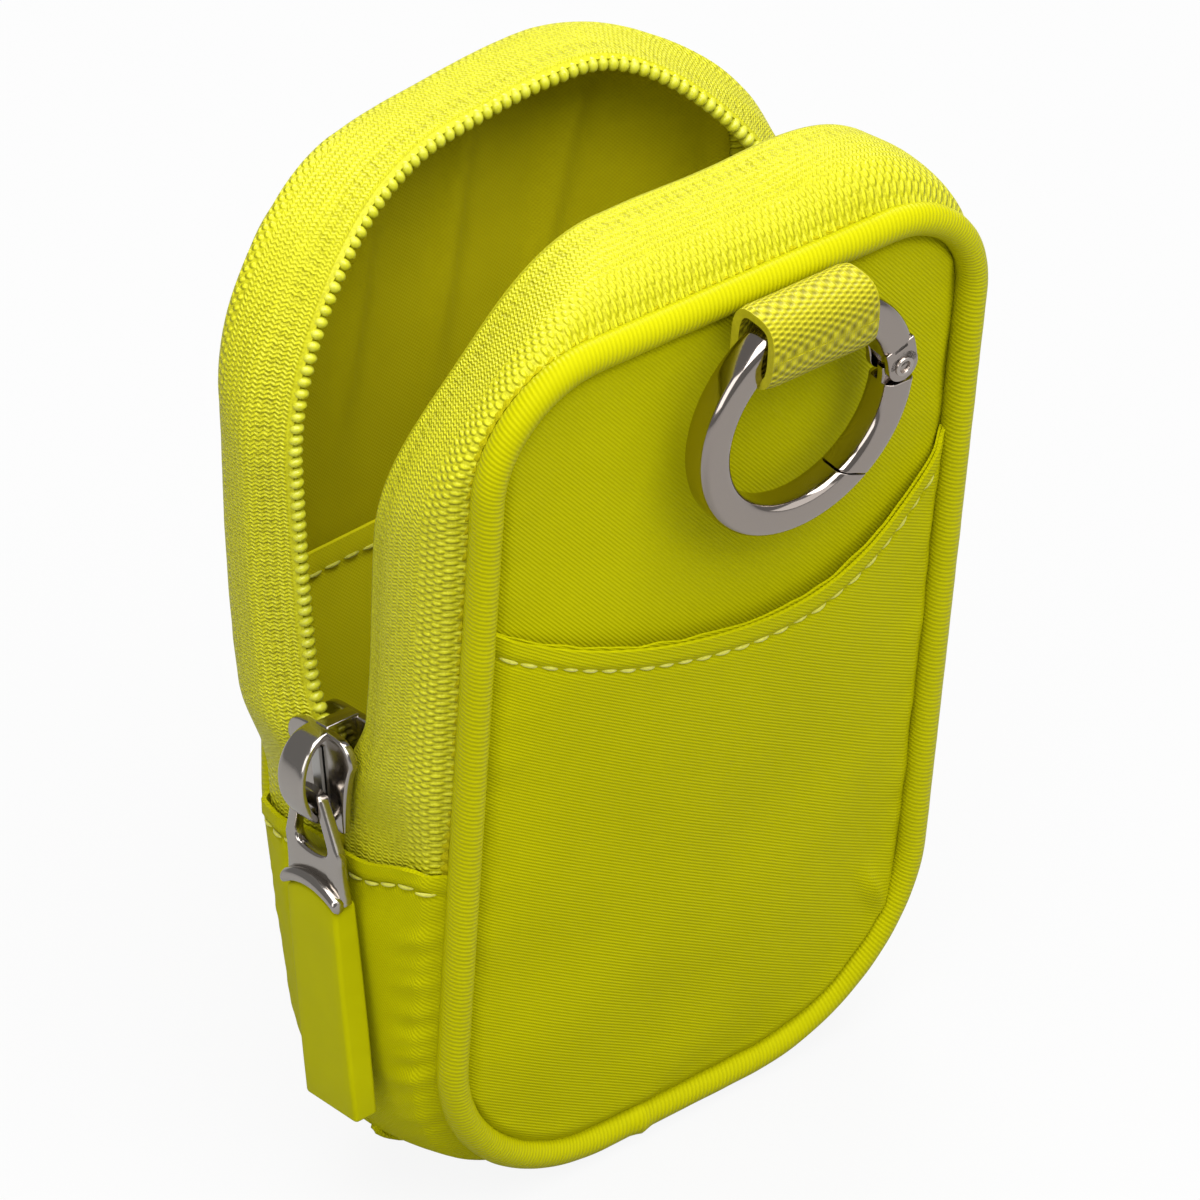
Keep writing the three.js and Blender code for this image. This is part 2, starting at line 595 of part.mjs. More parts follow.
// Crown: a broad strap arching from the slider's nose to its tail
const deck = topFace + SLIDER_PLATE + GAP / 2;
const arch = new THREE.Shape();
arch.absellipse(0, 0, CROWN_RISE, CROWN_REACH, -Math.PI / 2, Math.PI / 2, false);
arch.lineTo(0, CROWN_REACH - CROWN_METAL);
arch.absellipse(0, 0, CROWN_RISE - CROWN_METAL, CROWN_REACH - CROWN_METAL, Math.PI / 2, -Math.PI / 2, true);
const crownStrap = frontPlate(arch, CROWN_WIDTH, METAL_BEVEL, 8).rotateZ(Math.PI).translate(-deck, 0, 0);
piece(sliderGroup, 'slider_crown', crownStrap, nickel);

// Pawl: the leaf that locks the slider, lying on its deck under the crown
const pawlLong = 2 * (CROWN_REACH - CROWN_METAL - GAP) - CROWN_METAL;
const pawl = new THREE.BoxGeometry(PAWL_METAL, PAWL_WIDTH, pawlLong)
  .translate(-deck - PAWL_METAL / 2, 0, 0);
piece(sliderGroup, 'slider_pawl', pawl, steel);

// Pull: a link with a tapered eye whose top rod lies under the crown, and a soft tab below it
const rodHeight = deck + PAWL_METAL + GAP + LINK_METAL / 2;
const eyeTop = CROWN_WIDTH / 2 + 2 * GAP;
const eyeFoot = LINK_WIDTH / 2 - LINK_LIMB;
const linkShape = new THREE.Shape();
linkShape.moveTo(-eyeTop - LINK_SHOULDER, LINK_METAL / 2);
linkShape.lineTo(-LINK_WIDTH / 2, -EYE_LENGTH);
linkShape.lineTo(-LINK_WIDTH / 2, LINK_METAL / 2 - LINK_LENGTH);
linkShape.quadraticCurveTo(0, LINK_METAL / 2 - LINK_LENGTH + LINK_HOLLOW,
  LINK_WIDTH / 2, LINK_METAL / 2 - LINK_LENGTH);
linkShape.lineTo(LINK_WIDTH / 2, -EYE_LENGTH);
linkShape.lineTo(eyeTop + LINK_SHOULDER, LINK_METAL / 2);
const eye = new THREE.Path();
eye.moveTo(-eyeTop, -LINK_METAL / 2);
eye.lineTo(eyeTop, -LINK_METAL / 2);
const eyeBase = -LINK_METAL / 2 - EYE_LENGTH + EYE_SWELL;
eye.lineTo(eyeFoot, eyeBase);
eye.quadraticCurveTo(0, eyeBase - 2 * EYE_SWELL, -eyeFoot, eyeBase);
linkShape.holes.push(eye);
const pullGroup = new THREE.Group();
pullGroup.position.set(-rodHeight, 0, -ROD_DROP);
sliderGroup.add(pullGroup);
piece(pullGroup, 'pull_link', sidePlate(linkShape, LINK_METAL, METAL_BEVEL, 6), nickel);

const tabShape = roundedBox(new THREE.Shape(), TAB_WIDTH, TAB_LENGTH, TAB_BEVEL * 2);
const tabDrop = LINK_LENGTH - LINK_METAL / 2 + GAP + TAB_LENGTH / 2;
const pullTab = sidePlate(tabShape, TAB_THICKNESS, TAB_BEVEL, 3).translate(0, 0, -tabDrop);
piece(pullGroup, 'pull_tab', pullTab, silicone);

export default pouch;
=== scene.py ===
"""Zipped key pouch standing open: cloth, zip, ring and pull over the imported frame, in metres."""
import json
import math
from contextlib import contextmanager

import bmesh
import bpy
from mathutils import Matrix, Vector, noise


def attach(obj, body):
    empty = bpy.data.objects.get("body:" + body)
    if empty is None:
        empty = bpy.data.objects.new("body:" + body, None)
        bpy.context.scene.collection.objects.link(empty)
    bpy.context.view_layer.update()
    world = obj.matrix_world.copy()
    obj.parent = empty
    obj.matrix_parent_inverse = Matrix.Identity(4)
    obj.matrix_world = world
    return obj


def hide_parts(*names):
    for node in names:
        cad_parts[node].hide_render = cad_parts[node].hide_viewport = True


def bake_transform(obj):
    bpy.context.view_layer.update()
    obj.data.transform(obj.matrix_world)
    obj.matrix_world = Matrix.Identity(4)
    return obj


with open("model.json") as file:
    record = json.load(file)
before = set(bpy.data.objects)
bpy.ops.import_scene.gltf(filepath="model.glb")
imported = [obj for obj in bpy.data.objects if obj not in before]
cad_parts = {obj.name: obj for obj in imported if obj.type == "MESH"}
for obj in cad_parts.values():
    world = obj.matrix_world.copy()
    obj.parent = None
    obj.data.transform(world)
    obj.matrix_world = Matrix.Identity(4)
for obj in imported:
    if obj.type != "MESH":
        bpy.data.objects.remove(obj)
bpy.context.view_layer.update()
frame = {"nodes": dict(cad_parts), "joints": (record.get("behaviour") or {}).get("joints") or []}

# Outer panels, back and front: satin twill nylon cut to the pouch's rounded outline.
# Each is sewn into its piping all round, so it bows out in the middle and puckers a little at the seam.
mm = 0.001
pouch_width = 74 * mm
pouch_height = 124 * mm
top_radius = 16 * mm
bottom_radius = 26 * mm
fold_height = 38 * mm
joints = {joint["name"]: joint for joint in frame["joints"]}
fold_line = Vector(joints["mouth"]["pos_m"])
front_lean = math.radians(5.3)
back_lean = math.radians(-9.7)
corner_droop = {-1: (4.6 * mm, 1.6 * mm), 1: (6.5 * mm, 3 * mm)}
back_dome = 2.2 * mm
dome_middle = 9 * mm
slack_from = 66 * mm
slack_to = 122 * mm
panel_inset = 3.2 * mm
panel_face = 16.15 * mm
panel_crown = 2.5 * mm
panel_cloth = 0.6 * mm
wave_length = 24 * mm
pucker_length = 4.5 * mm
pucker_height = 0.16 * mm
seam_tuck = 0.9 * mm
nylon_colour = (0.50, 0.49, 0.002, 1)
nylon_shade = (0.40, 0.387, 0.001, 1)


def leaned(x, y, z, lean):
    """A point of the shut pouch, carried to where its half leans open.
    The back's top is slack: it is domed in the middle and its corners droop forward."""
    up = z - fold_height
    if lean == back_lean:
        slack = smooth(z, slack_from, slack_to)
        at_mouth, further = corner_droop[1 if x > 0 else -1]
        droop = at_mouth + further * smooth(y, 0, 15 * mm)
        y -= droop * smooth(abs(x), 10 * mm, 38 * mm) * slack
        up += back_dome * (1 - smooth(abs(x - dome_middle), 4 * mm, 28 * mm)) * slack
    return Vector((
        x,
        y * math.cos(lean) - up * math.sin(lean),
        fold_line.z + up * math.cos(lean) + y * math.sin(lean),
    ))


def foot_and_head(x, inset):
    """Lowest and highest points of the pouch's outline at x, drawn in by inset."""
    def rise(radius):
        across = abs(x) - (pouch_width / 2 - radius)
        if across <= 0:
            return inset
        return radius - math.sqrt(max((radius - inset) ** 2 - across ** 2, 0))
    return rise(bottom_radius), pouch_height - rise(top_radius)


def smooth(value, low, high):
    """0 below low, 1 above high and an even rise between them."""
    share = min(max((value - low) / (high - low), 0), 1)
    return share * share * (3 - 2 * share)


def soft_waves(x, z, seed, length):
    """Slow waves of slack cloth, from -1 to 1."""
    return noise.noise(Vector((x / length, z / length, seed))) * 1.4


@contextmanager
def editing(action="SELECT", kind=None):
    """Edit mode for the active object, with all of its mesh selected or none."""
    bpy.ops.object.mode_set(mode="EDIT")
    if kind:
        bpy.ops.mesh.select_mode(type=kind)
    bpy.ops.mesh.select_all(action=action)
    yield
    bpy.ops.object.mode_set(mode="OBJECT")


def cloth(name, columns, rows, lay, thickness, inside_out=False):
    """A grid laid vertex by vertex as cloth, its cut sizes kept as UVs in metres, then thickened."""
    bpy.ops.mesh.primitive_grid_add(x_subdivisions=columns, y_subdivisions=rows, size=1)
    piece = bpy.context.object
    piece.name = piece.data.name = name
    laid = [lay(vertex.co.x + 0.5, vertex.co.y + 0.5) for vertex in piece.data.vertices]
    for vertex, (place, _) in zip(piece.data.vertices, laid):
        vertex.co = place
    for loop, corner in zip(piece.data.loops, piece.data.uv_layers.active.data):
        corner.uv = laid[loop.vertex_index][1]
    with editing():
        bpy.ops.mesh.remove_doubles(threshold=0.02 * mm)
        if inside_out:
            bpy.ops.mesh.flip_normals()
    if thickness:
        wall = piece.modifiers.new("cloth", "SOLIDIFY")
        wall.thickness = thickness
        wall.offset = -1
        bpy.ops.object.modifier_apply(modifier=wall.name)
    bpy.ops.object.shade_smooth_by_angle(angle=math.radians(50))
    return piece


class Value:
    """A shader value that Python arithmetic carries on with Math nodes."""

    def __init__(self, tree, socket):
        self.tree = tree
        self.socket = socket

    def math(self, operation, *others):
        made = self.tree.nodes.new("ShaderNodeMath")
        made.operation = operation
        for slot, given in zip(made.inputs, (self, *others)):
            feed(slot, given)
        return Value(self.tree, made.outputs[0])

    def __add__(self, other):
        return self.math("ADD", other)

    def __sub__(self, other):
        return self.math("SUBTRACT", other)

    def __rsub__(self, other):
        return self.math("MULTIPLY", -1).math("ADD", other)

    def __mul__(self, other):
        return self.math("MULTIPLY", other)

    __radd__ = __add__
    __rmul__ = __mul__

    def wave(self, length):
        """A sine along the value, from 0 to 1, one crest every length."""
        return (self * (2 * math.pi / length)).math("SINE") * 0.5 + 0.5

    def zigzag(self, length):
        """Rises and falls evenly from 0 to half a length, once every length."""
        return self.math("PINGPONG", length / 2)

    def above(self, low, high):
        """0 below low, 1 above high and an even rise between them."""
        made = self.tree.nodes.new("ShaderNodeMapRange")
        made.interpolation_type = "SMOOTHSTEP"
        for slot, given in zip(made.inputs, (self, low, high, 0, 1)):
            feed(slot, given)
        return Value(self.tree, made.outputs[0])


def feed(slot, given):
    """Links a shader value to a socket, or sets the socket to a plain number or colour."""
    if isinstance(given, Value):
        given.tree.links.new(given.socket, slot)
    else:
        slot.default_value = given


class Finish:
    """A material: a Principled shader, with constants on its own sockets and patterns fed from nodes."""

    def __init__(self, name, **constants):
        self.material = bpy.data.materials.new(name)
        self.material.use_nodes = True
        self.tree = self.material.node_tree
        self.shader = self.tree.nodes["Principled BSDF"]
        for socket, given in constants.items():
            self.set(socket.replace("_", " ").title().replace("Ior", "IOR"), given)

    def set(self, socket, given):
        feed(self.shader.inputs[socket], given)

    def node(self, kind, settings=(), sockets=(), output=0):
        made = self.tree.nodes.new(kind)
        for name, given in dict(settings).items():
            setattr(made, name, given)
        for name, given in dict(sockets).items():
            feed(made.inputs[name], given)
        return Value(self.tree, made.outputs[output])

    def cut(self):
        """Distances across and along the cloth as it was cut, in millimetres."""
        uv = self.node("ShaderNodeTexCoord", output="UV")
        scaled = self.node("ShaderNodeVectorMath", {"operation": "SCALE"}, {0: uv, "Scale": 1 / mm})
        parts = self.tree.nodes.new("ShaderNodeSeparateXYZ")
        feed(parts.inputs[0], scaled)
        return Value(self.tree, parts.outputs[0]), Value(self.tree, parts.outputs[1])

    def place(self):
        """Object coordinates in millimetres."""
        here = self.node("ShaderNodeTexCoord", output="Object")
        return self.node("ShaderNodeVectorMath", {"operation": "SCALE"}, {0: here, "Scale": 1 / mm})

    def mottle(self, length, detail=2):
        """Cloudy noise from 0 to 1 with blots about one length across, in millimetres."""
        sockets = {"Vector": self.place(), "Scale": 1 / length, "Detail": detail}
        return self.node("ShaderNodeTexNoise", {}, sockets)

    def colours(self, share, first, second):
        """First colour where share is 0, second where it is 1."""
        return self.node("ShaderNodeMix", {"data_type": "RGBA"}, {0: share, 6: first, 7: second}, 2)

    def bump(self, height, distance, strength=1.0):
        """Raises the surface by height times distance."""
        sockets = {"Height": height, "Distance": distance, "Strength": strength}
        self.set("Normal", self.node("ShaderNodeBump", {}, sockets))


def nylon_finish(name, colour, shade, slant=0.75):
    """Satin nylon: fine slanting twill ribs, slightly cloudy in colour and gloss."""
    finish = Finish(name, specular_ior_level=0.02, specular_tint=(1, 0.98, 0.04, 1))
    across, along = finish.cut()
    upright = math.sqrt(1 - slant * slant)
    ribs = (along * upright + across * slant).wave(0.4)
    threads = (across * upright - along * slant).wave(0.29)
    clouds = finish.mottle(9)
    finish.set("Base Color", finish.colours(ribs * 0.65 + clouds * 0.4, shade, colour))
    finish.set("Roughness", 0.36 + clouds * 0.12 + ribs * 0.06)
    finish.bump(ribs * 0.8 + threads * 0.25, 0.09 * mm, 0.7)
    return finish.material


def panel_depth(x, z, face, crown, inset, seed, slack):
    """How far a sheet stands from the pouch's middle: bowed, slack, puckered at its rim."""
    span = pouch_width / 2 - inset
    foot, head = foot_and_head(x, inset)
    middle = pouch_height / 2
    bow = (1 - (x / span) ** 2) * (1 - ((z - middle) / middle) ** 2)
    rim = min(span - abs(x), z - foot, head - z)
    waves = soft_waves(x, z, seed, wave_length) * slack * smooth(rim, 0, 10 * mm)
    pucker = soft_waves(x, z, seed + 7, pucker_length) * pucker_height
    pucker *= 1 - smooth(rim, 1 * mm, 8 * mm)
    tuck = seam_tuck * (1 - smooth(rim, 0, 2.6 * mm))
    return face + crown * max(bow, 0) ** 0.8 + waves + pucker - tuck


def panel_lay(side, lean, face, crown, inset, seed, slack):
    """Lays a whole sheet in the outline, drawn in by inset."""
    span = pouch_width / 2 - inset

    def lay(u, v):
        x = -side * span * math.sin((u - 0.5) * math.pi)
        foot, head = foot_and_head(x, inset)
        z = foot + (head - foot) * (0.5 - 0.5 * math.cos(v * math.pi))
        depth = panel_depth(x, z, face, crown, inset, seed, slack)
        return leaned(x, side * depth, z, lean), (-side * x, z)

    return lay


panel_nylon = nylon_finish("panel_nylon", nylon_colour, nylon_shade)
panels = {"back": (1, back_lean, 1.7), "front": (-1, front_lean, 4.2)}
panel_slack = 0.45 * mm
for half, (side, lean, seed) in panels.items():
    panel = cloth(
        f"{half}_panel_cloth", 96, 128,
        panel_lay(side, lean, panel_face, panel_crown, panel_inset, seed, panel_slack), panel_cloth,
    )
    panel.data.materials.append(panel_nylon)
    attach(panel, f"{half}_half")
    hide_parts(f"{half}_panel")

# Linings: thin plain-weave cloth behind each panel, caught in the same seam and a little slack.
# The back one carries a card pocket with a turned and stitched top edge.
lining_face = 14.85 * mm
lining_crown = 1.9 * mm
lining_cloth = 0.35 * mm
lining_slack = 0.6 * mm
crease_places = (17, 3, -12)
crease_width = 1.7
crease_rise = 1.2 * mm
lining_colour = (0.50, 0.455, 0.006, 1)
lining_shade = (0.36, 0.32, 0.003, 1)


def lining_finish(name, colour, shade):
    """Plain weave: threads over and under at right angles, with a soft gloss."""
    finish = Finish(name, specular_ior_level=0.1, specular_tint=(1, 0.95, 0.1, 1))
    across, along = finish.cut()
    over = across.wave(0.5) * along.wave(0.5) + (across + 0.25).wave(0.5) * (along + 0.25).wave(0.5)
    clouds = finish.mottle(7)
    finish.set("Base Color", finish.colours(over * 0.45 + clouds * 0.4, shade, colour))
    finish.set("Roughness", 0.45 + clouds * 0.1)
    finish.bump(over, 0.07 * mm, 0.6)
    return finish.material


def lining_lay(side, lean, seed):
    """Lays a lining in the outline, with three slanting creases near the top."""
    face = lining_face - lining_cloth
    inset = panel_inset + 0.4 * mm
    lies = panel_lay(side, lean, face, lining_crown, inset, seed + 2, lining_slack)

    def lay(u, v):
        place, (x, z) = lies(u, v)
        off = x / mm + 0.3 * (z / mm - 100)
        creases = sum(math.exp(-((off - at) / crease_width) ** 2) for at in crease_places)
        creases *= smooth(z, 82 * mm, 108 * mm) * smooth(pouch_height - z, 2 * mm, 9 * mm)
        place.y -= side * crease_rise * creases
        return place, (x, z)

    return lay


lining_weave = lining_finish("lining_weave", lining_colour, lining_shade)
for half, (side, lean, seed) in panels.items():
    laid = lining_lay(side, lean, seed)
    lining = cloth(f"{half}_lining_cloth", 104, 88, laid, lining_cloth, inside_out=True)
    lining.data.materials.append(lining_weave)
    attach(lining, f"{half}_half")
    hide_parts(f"{half}_lining")

# Card pocket: a low sheet of the lining cloth across the back, open at the top.
# Its edge is turned under and held by one row of stitches.
card_top = 77 * mm
card_face = 13.55 * mm
hem_depth = 2.9 * mm
card_seam = card_top - hem_depth
stitch_pitch = 2.9 * mm
stitch_length = 2.5 * mm
stitch_width = 0.55 * mm
stitch_height = 0.36 * mm
stitch_dip = 0.25 * mm
thread_colour = (0.70, 0.69, 0.13, 1)


def row_of(name, pattern, places):
    """One mesh holding a copy of the pattern's mesh at each place, in place of the pattern."""
    joined = bmesh.new()
    for place in places:
        copy = pattern.data.copy()
        copy.transform(place)
        joined.from_mesh(copy)
        bpy.data.meshes.remove(copy)
    made = bpy.data.objects.new(name, bpy.data.meshes.new(name))
    bpy.context.scene.collection.objects.link(made)
    joined.to_mesh(made.data)
    joined.free()
    for polygon in made.data.polygons:
        polygon.use_smooth = True
    bpy.data.objects.remove(pattern)
    return made


def facing(place, ahead, out):
    """A matrix at place whose X runs ahead and whose Z points out."""
    ahead = ahead.normalized()
    side = out.cross(ahead).normalized()
    up = ahead.cross(side)
    turn = Matrix((ahead, side, up)).transposed().to_4x4()
    return Matrix.Translation(place) @ turn


def stitch():
    """A single stitch: a small pill that dips into the cloth at both ends."""
    turn = (0, math.pi / 2, 0)
    bpy.ops.mesh.primitive_uv_sphere_add(segments=8, ring_count=6, radius=0.5, rotation=turn)
    bpy.ops.object.transform_apply(location=False, rotation=True, scale=False)
    pill = bpy.context.object
    for vertex in pill.data.vertices:
        vertex.co.x *= stitch_length
        vertex.co.y *= stitch_width
        vertex.co.z *= stitch_height
        vertex.co.z -= stitch_dip * (2 * vertex.co.x / stitch_length) ** 2
    return pill


def evenly(path, pitch, first=0.5):
    """Places one pitch apart on a path of close points: the point before, and the share of the way on."""
    run = [0]
    for before, after in zip(path, path[1:]):
        run.append(run[-1] + (after - before).length)
    index = 0
    for number in range(int(run[-1] / pitch)):
        wanted = (number + first) * pitch
        while run[index + 1] < wanted:
            index += 1
        yield index, (wanted - run[index]) / (run[index + 1] - run[index])


def stitch_row(name, path, outs, body, pitch=stitch_pitch):
    """Stitches spaced evenly along a path, given the direction out of the cloth at each point."""
    places = []
    for number, (index, share) in enumerate(evenly(path, pitch)):
        ahead = path[index + 1] - path[index]
        skew = 0.25 * mm * noise.noise(Vector((number * 3.7, 0.5, 0)))
        place = path[index].lerp(path[index + 1], share) + outs[index] * 0.12 * mm
        places.append(facing(place + outs[index].cross(ahead.normalized()) * skew, ahead, outs[index]))
    row = row_of(name, stitch(), places)
    row.data.materials.append(sewing_thread)
    if body:
        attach(row, body)
    return row


def thread_finish():
    """Twisted polyester thread, paler than the cloth."""
    finish = Finish("sewing_thread", specular_ior_level=0.4, sheen_weight=0.2)
    twist = finish.mottle(0.4, 1)
    finish.set("Base Color", finish.colours(twist, nylon_colour, thread_colour))
    finish.set("Roughness", 0.4 + twist * 0.2)
    finish.bump(twist, 0.06 * mm, 0.5)
    return finish.material


sewing_thread = thread_finish()
card_span = pouch_width / 2 - panel_inset - 0.8 * mm


def card_depth(x, z):
    """How far back the card pocket lies: bowed with the lining, gaping a little at its mouth."""
    gape = 1.1 * mm * smooth(z, 40 * mm, card_top) * (1 - (x / card_span) ** 2)
    turned = 0.25 * mm * smooth(z, card_seam - 0.4 * mm, card_seam + 0.4 * mm)
    bow = (1 - (x / card_span) ** 2) * (1 - ((z - pouch_height / 2) / (pouch_height / 2)) ** 2)
    return card_face + lining_crown * bow - gape - turned + soft_waves(x, z, 5.1, 20 * mm) * 0.3 * mm


def card_lay(u, v):
    x = card_span * math.sin((u - 0.5) * math.pi)
    foot = foot_and_head(x, panel_inset + 0.8 * mm)[0]
    z = foot + (card_top - foot) * v
    return leaned(x, card_depth(x, z), z, back_lean), (x, z)


card_pocket = cloth("card_pocket_cloth", 56, 84, card_lay, 0.5 * mm)
# The card pocket is the lining cloth, coloured much lighter than the other linings: painted light for the
# light that falls in at the mouth onto it.
card_painted_light_weave = lining_finish("card_pocket_painted_light_weave", (0.84, 0.79, 0.012, 1), (0.6, 0.55, 0.006, 1))
card_pocket.data.materials.append(card_painted_light_weave)
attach(card_pocket, "back_half")
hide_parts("card_pocket")
card_xs = [card_span * (i / 40 - 1) * 0.97 for i in range(81)]
card_line = [leaned(x, card_depth(x, card_seam) - 0.1 * mm, card_seam, back_lean) for x in card_xs]
inward = leaned(0, -1, fold_height, back_lean) - leaned(0, 0, fold_height, back_lean)
stitch_row("card_pocket_stitches", card_line, [inward] * len(card_line), "back_half")

# Piping: a round cord wrapped in a strip of the nylon, sewn into the seam round each panel.
# The wrapped strip is drawn tight, so it shows fine ribs across, and its two ends meet at the bottom.
piping_radius = 1.9 * mm
piping_depth = 16.35 * mm
zip_end = 52 * mm
bottom_run = pouch_width / 2 - bottom_radius
side_run = pouch_height - bottom_radius - top_radius
top_run = pouch_width / 2 - top_radius
half_round = bottom_run + bottom_radius * math.pi / 2 + side_run + top_radius * math.pi / 2 + top_run
whole_round = 2 * half_round


def outline(along, radius=top_radius):
    """x and z on the shut pouch's outline and the direction out of it, by the length from the bottom's
    middle, going left, up, over the top and down the right. The top corners may be made rounder."""
    along = along % whole_round
    side = 1 if along > half_round else -1
    run = whole_round - along if along > half_round else along
    if run <= bottom_run:
        return side * run, 0, 0, -1
    run -= bottom_run
    if run <= bottom_radius * math.pi / 2:
        turn = run / bottom_radius
        out_x, out_z = math.sin(turn), -math.cos(turn)
        x = side * (bottom_run + bottom_radius * out_x)
        return x, bottom_radius * (1 + out_z), side * out_x, out_z
    run -= bottom_radius * math.pi / 2
    if run <= side_run:
        above = max(bottom_radius + run - zip_end, 0)
        shorter = (radius - top_radius) * above / (pouch_height - top_radius - zip_end)
        return side * pouch_width / 2, bottom_radius + run - shorter, side, 0
    run -= side_run
    middle = pouch_width / 2 - radius
    if run <= top_radius * math.pi / 2:
        turn = run / top_radius
        out_x, out_z = math.cos(turn), math.sin(turn)
        x = side * (middle + radius * out_x)
        return x, pouch_height + radius * (out_z - 1), side * out_x, out_z
    run -= top_radius * math.pi / 2
    return side * middle * (1 - run / top_run), pouch_height, 0, 1


def piping_finish():
    """The panel's nylon on the bias: fine ribs across the cord."""
    finish = Finish("piping_nylon", specular_ior_level=0.1, specular_tint=(1, 0.98, 0.08, 1))
    along, around = finish.cut()
    ribs = (along + around * 0.25).wave(0.6)
    clouds = finish.mottle(12)
    finish.set("Base Color", finish.colours(ribs * 0.55 + clouds * 0.45, nylon_shade, nylon_colour))
    finish.set("Roughness", 0.33 + clouds * 0.12)
    finish.bump(ribs, 0.08 * mm, 0.65)
    return finish.material


def piping_lay(side, lean):
    join = 0.006

    def lay(u, v):
        along = u * whole_round
        x, z, out_x, out_z = outline(along + join)
        turn = 2 * math.pi * v
        near_join = min(u, 1 - u) * whole_round
        lap = 0.35 * mm * (1 - smooth(near_join, 0.2 * mm, 1.4 * mm))
        radius = piping_radius * (1 + 0.02 * noise.noise(Vector((along * 260, 2.0, side)))) + lap
        drawn = 2.2 * mm * smooth(z, 44 * mm, 64 * mm) if side > 0 else 0
        out = -piping_radius - drawn + radius * math.cos(turn)
        y = side * (piping_depth + radius * math.sin(turn))
        return leaned(x + out_x * out, y, z + out_z * out, lean), (along, turn * piping_radius)

    return lay


piping_nylon = piping_finish()
for half, (side, lean, _) in panels.items():
    piping = cloth(f"{half}_piping_cord", 420, 16, piping_lay(side, lean), 0, inside_out=side < 0)
    piping.data.materials.append(piping_nylon)
    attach(piping, f"{half}_half")
    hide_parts(f"{half}_piping")

# Lower gusset: a strip of the nylon joining the halves round the bottom, folded where the pouch hinges.
# Its ends are turned under and stitched across the zip's ends, and the seams pucker it along both edges.
band_bulge = 2.6 * mm
corner_bulge = 2.4 * mm
band_edge = 14.75 * mm
bulge_reach = 18.25 * mm
zip_end_run = bottom_run + bottom_radius * math.pi / 2 + zip_end - bottom_radius
fold_half_width = 6 * mm
gusset_cloth = 0.6 * mm
gusset_edge = 15.3 * mm
gusset_hem = 2.6 * mm


def band_out(y, z, out_x, out_z):
    """How far the band between the halves stands out of the outline: fullest at the corners and behind,
    and nearly flat underneath, where the pouch stands."""
    behind = smooth(y, 3 * mm, 9 * mm) * smooth(z, 4 * mm, 18 * mm)
    fuller = corner_bulge * 4 * (out_x * min(out_z, 0)) ** 2
    fuller += (0.6 + 1.9 * behind) * mm * (1 - smooth(z, 38 * mm, 66 * mm))
    under = 0.65 * smooth(-out_z, 0.6, 1)
    return (band_bulge + fuller) * (1 - (y / bulge_reach) ** 2) * (1 - under)


def gusset_point(along, y, lift):
    """A point of the band round the bottom: it turns with the nearer half and lies flat on the ground."""
    x, z, out_x, out_z = outline(along)
    out = band_out(y, z, out_x, out_z) + lift
    share = smooth(-y, -fold_half_width, fold_half_width)
    place = leaned(x + out_x * out, y, z + out_z * out, back_lean + (front_lean - back_lean) * share)
    above = place.z + min(lift, 0)
    place.z = 0.5 * (above + math.hypot(above, 1.6 * mm)) - min(lift, 0)
    return place


def gusset_lay(u, v):
    along = zip_end_run * (2 * u - 1)
    y = gusset_edge * (2 * v - 1)
    to_end = zip_end_run - abs(along)
    turned = 0.45 * mm * (1 - smooth(to_end, gusset_hem - 0.3 * mm, gusset_hem + 0.5 * mm))
    dip = 0.35 * mm * (1 - smooth(abs(to_end - gusset_hem), 0.2 * mm, 0.9 * mm))
    to_seam = gusset_edge - abs(y)
    slanting = along / (2.1 * mm) + to_seam / (4 * mm)
    pucker = noise.noise(Vector((slanting, math.copysign(3, y), 1))) * 0.75 * mm
    pucker *= (1 - smooth(to_seam, 2 * mm, 7 * mm)) * smooth(to_seam, 0, 1.2 * mm)
    pucker *= (0.2 if y > 0 else 1) * smooth(zip_end_run - to_end, 34 * mm, 46 * mm)
    tuck = 2.2 * mm * (1 - smooth(to_seam, 0, 2.4 * mm)) ** 1.5
    slack = soft_waves(along, y, 8.3, 17 * mm) * 0.4 * mm * smooth(to_end, 2 * mm, 12 * mm)
    sag = 2.5 * mm - 4.2 * mm * smooth(-y, 1 * mm, 13 * mm)
    along -= math.copysign(1, along) * sag * (1 - smooth(to_end, 2 * mm, 14 * mm))
    place = gusset_point(along, y, turned - dip + pucker - tuck + slack)
    return place, (along, y)


gusset = cloth("lower_gusset_cloth", 260, 44, gusset_lay, gusset_cloth)
gusset_nylon = nylon_finish("gusset_nylon", nylon_colour, nylon_shade, -0.75)
gusset.data.materials.append(gusset_nylon)
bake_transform(gusset)
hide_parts("lower_gusset")
for name, side in (("left_zip_end_stitches", 1), ("right_zip_end_stitches", -1)):
    across = [0.03 + 0.94 * i / 60 for i in range(61)]
    hem_run = side * (1 - gusset_hem / zip_end_run)
    line = [gusset_lay((hem_run + 1) / 2, v)[0] + Vector((-0.2 * mm * side, 0, 0)) for v in across]
    row = stitch_row(name, line, [Vector((-side, 0, 0))] * len(line), None)
    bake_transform(row)

# Gusset lining: the plain-weave strip inside the gusset, sewn at the same seams.
# It stops short of the seam bindings that run along both edges.
lining_edge = 10.75 * mm
lining_sink = 1.5 * mm


def gusset_lining_lay(u, v):
    along = (zip_end_run - 0.8 * mm) * (2 * u - 1)
    y = -lining_edge + 2 * lining_edge * v
    slack = soft_waves(along, y, 3.3, 12 * mm) * 0.25 * mm
    return gusset_point(along, y, slack - lining_sink), (along, y)


gusset_lining = cloth("gusset_lining_cloth", 140, 18, gusset_lining_lay, lining_cloth, inside_out=True)
gusset_lining.data.materials.append(lining_weave)
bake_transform(gusset_lining)
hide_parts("gusset_lining")

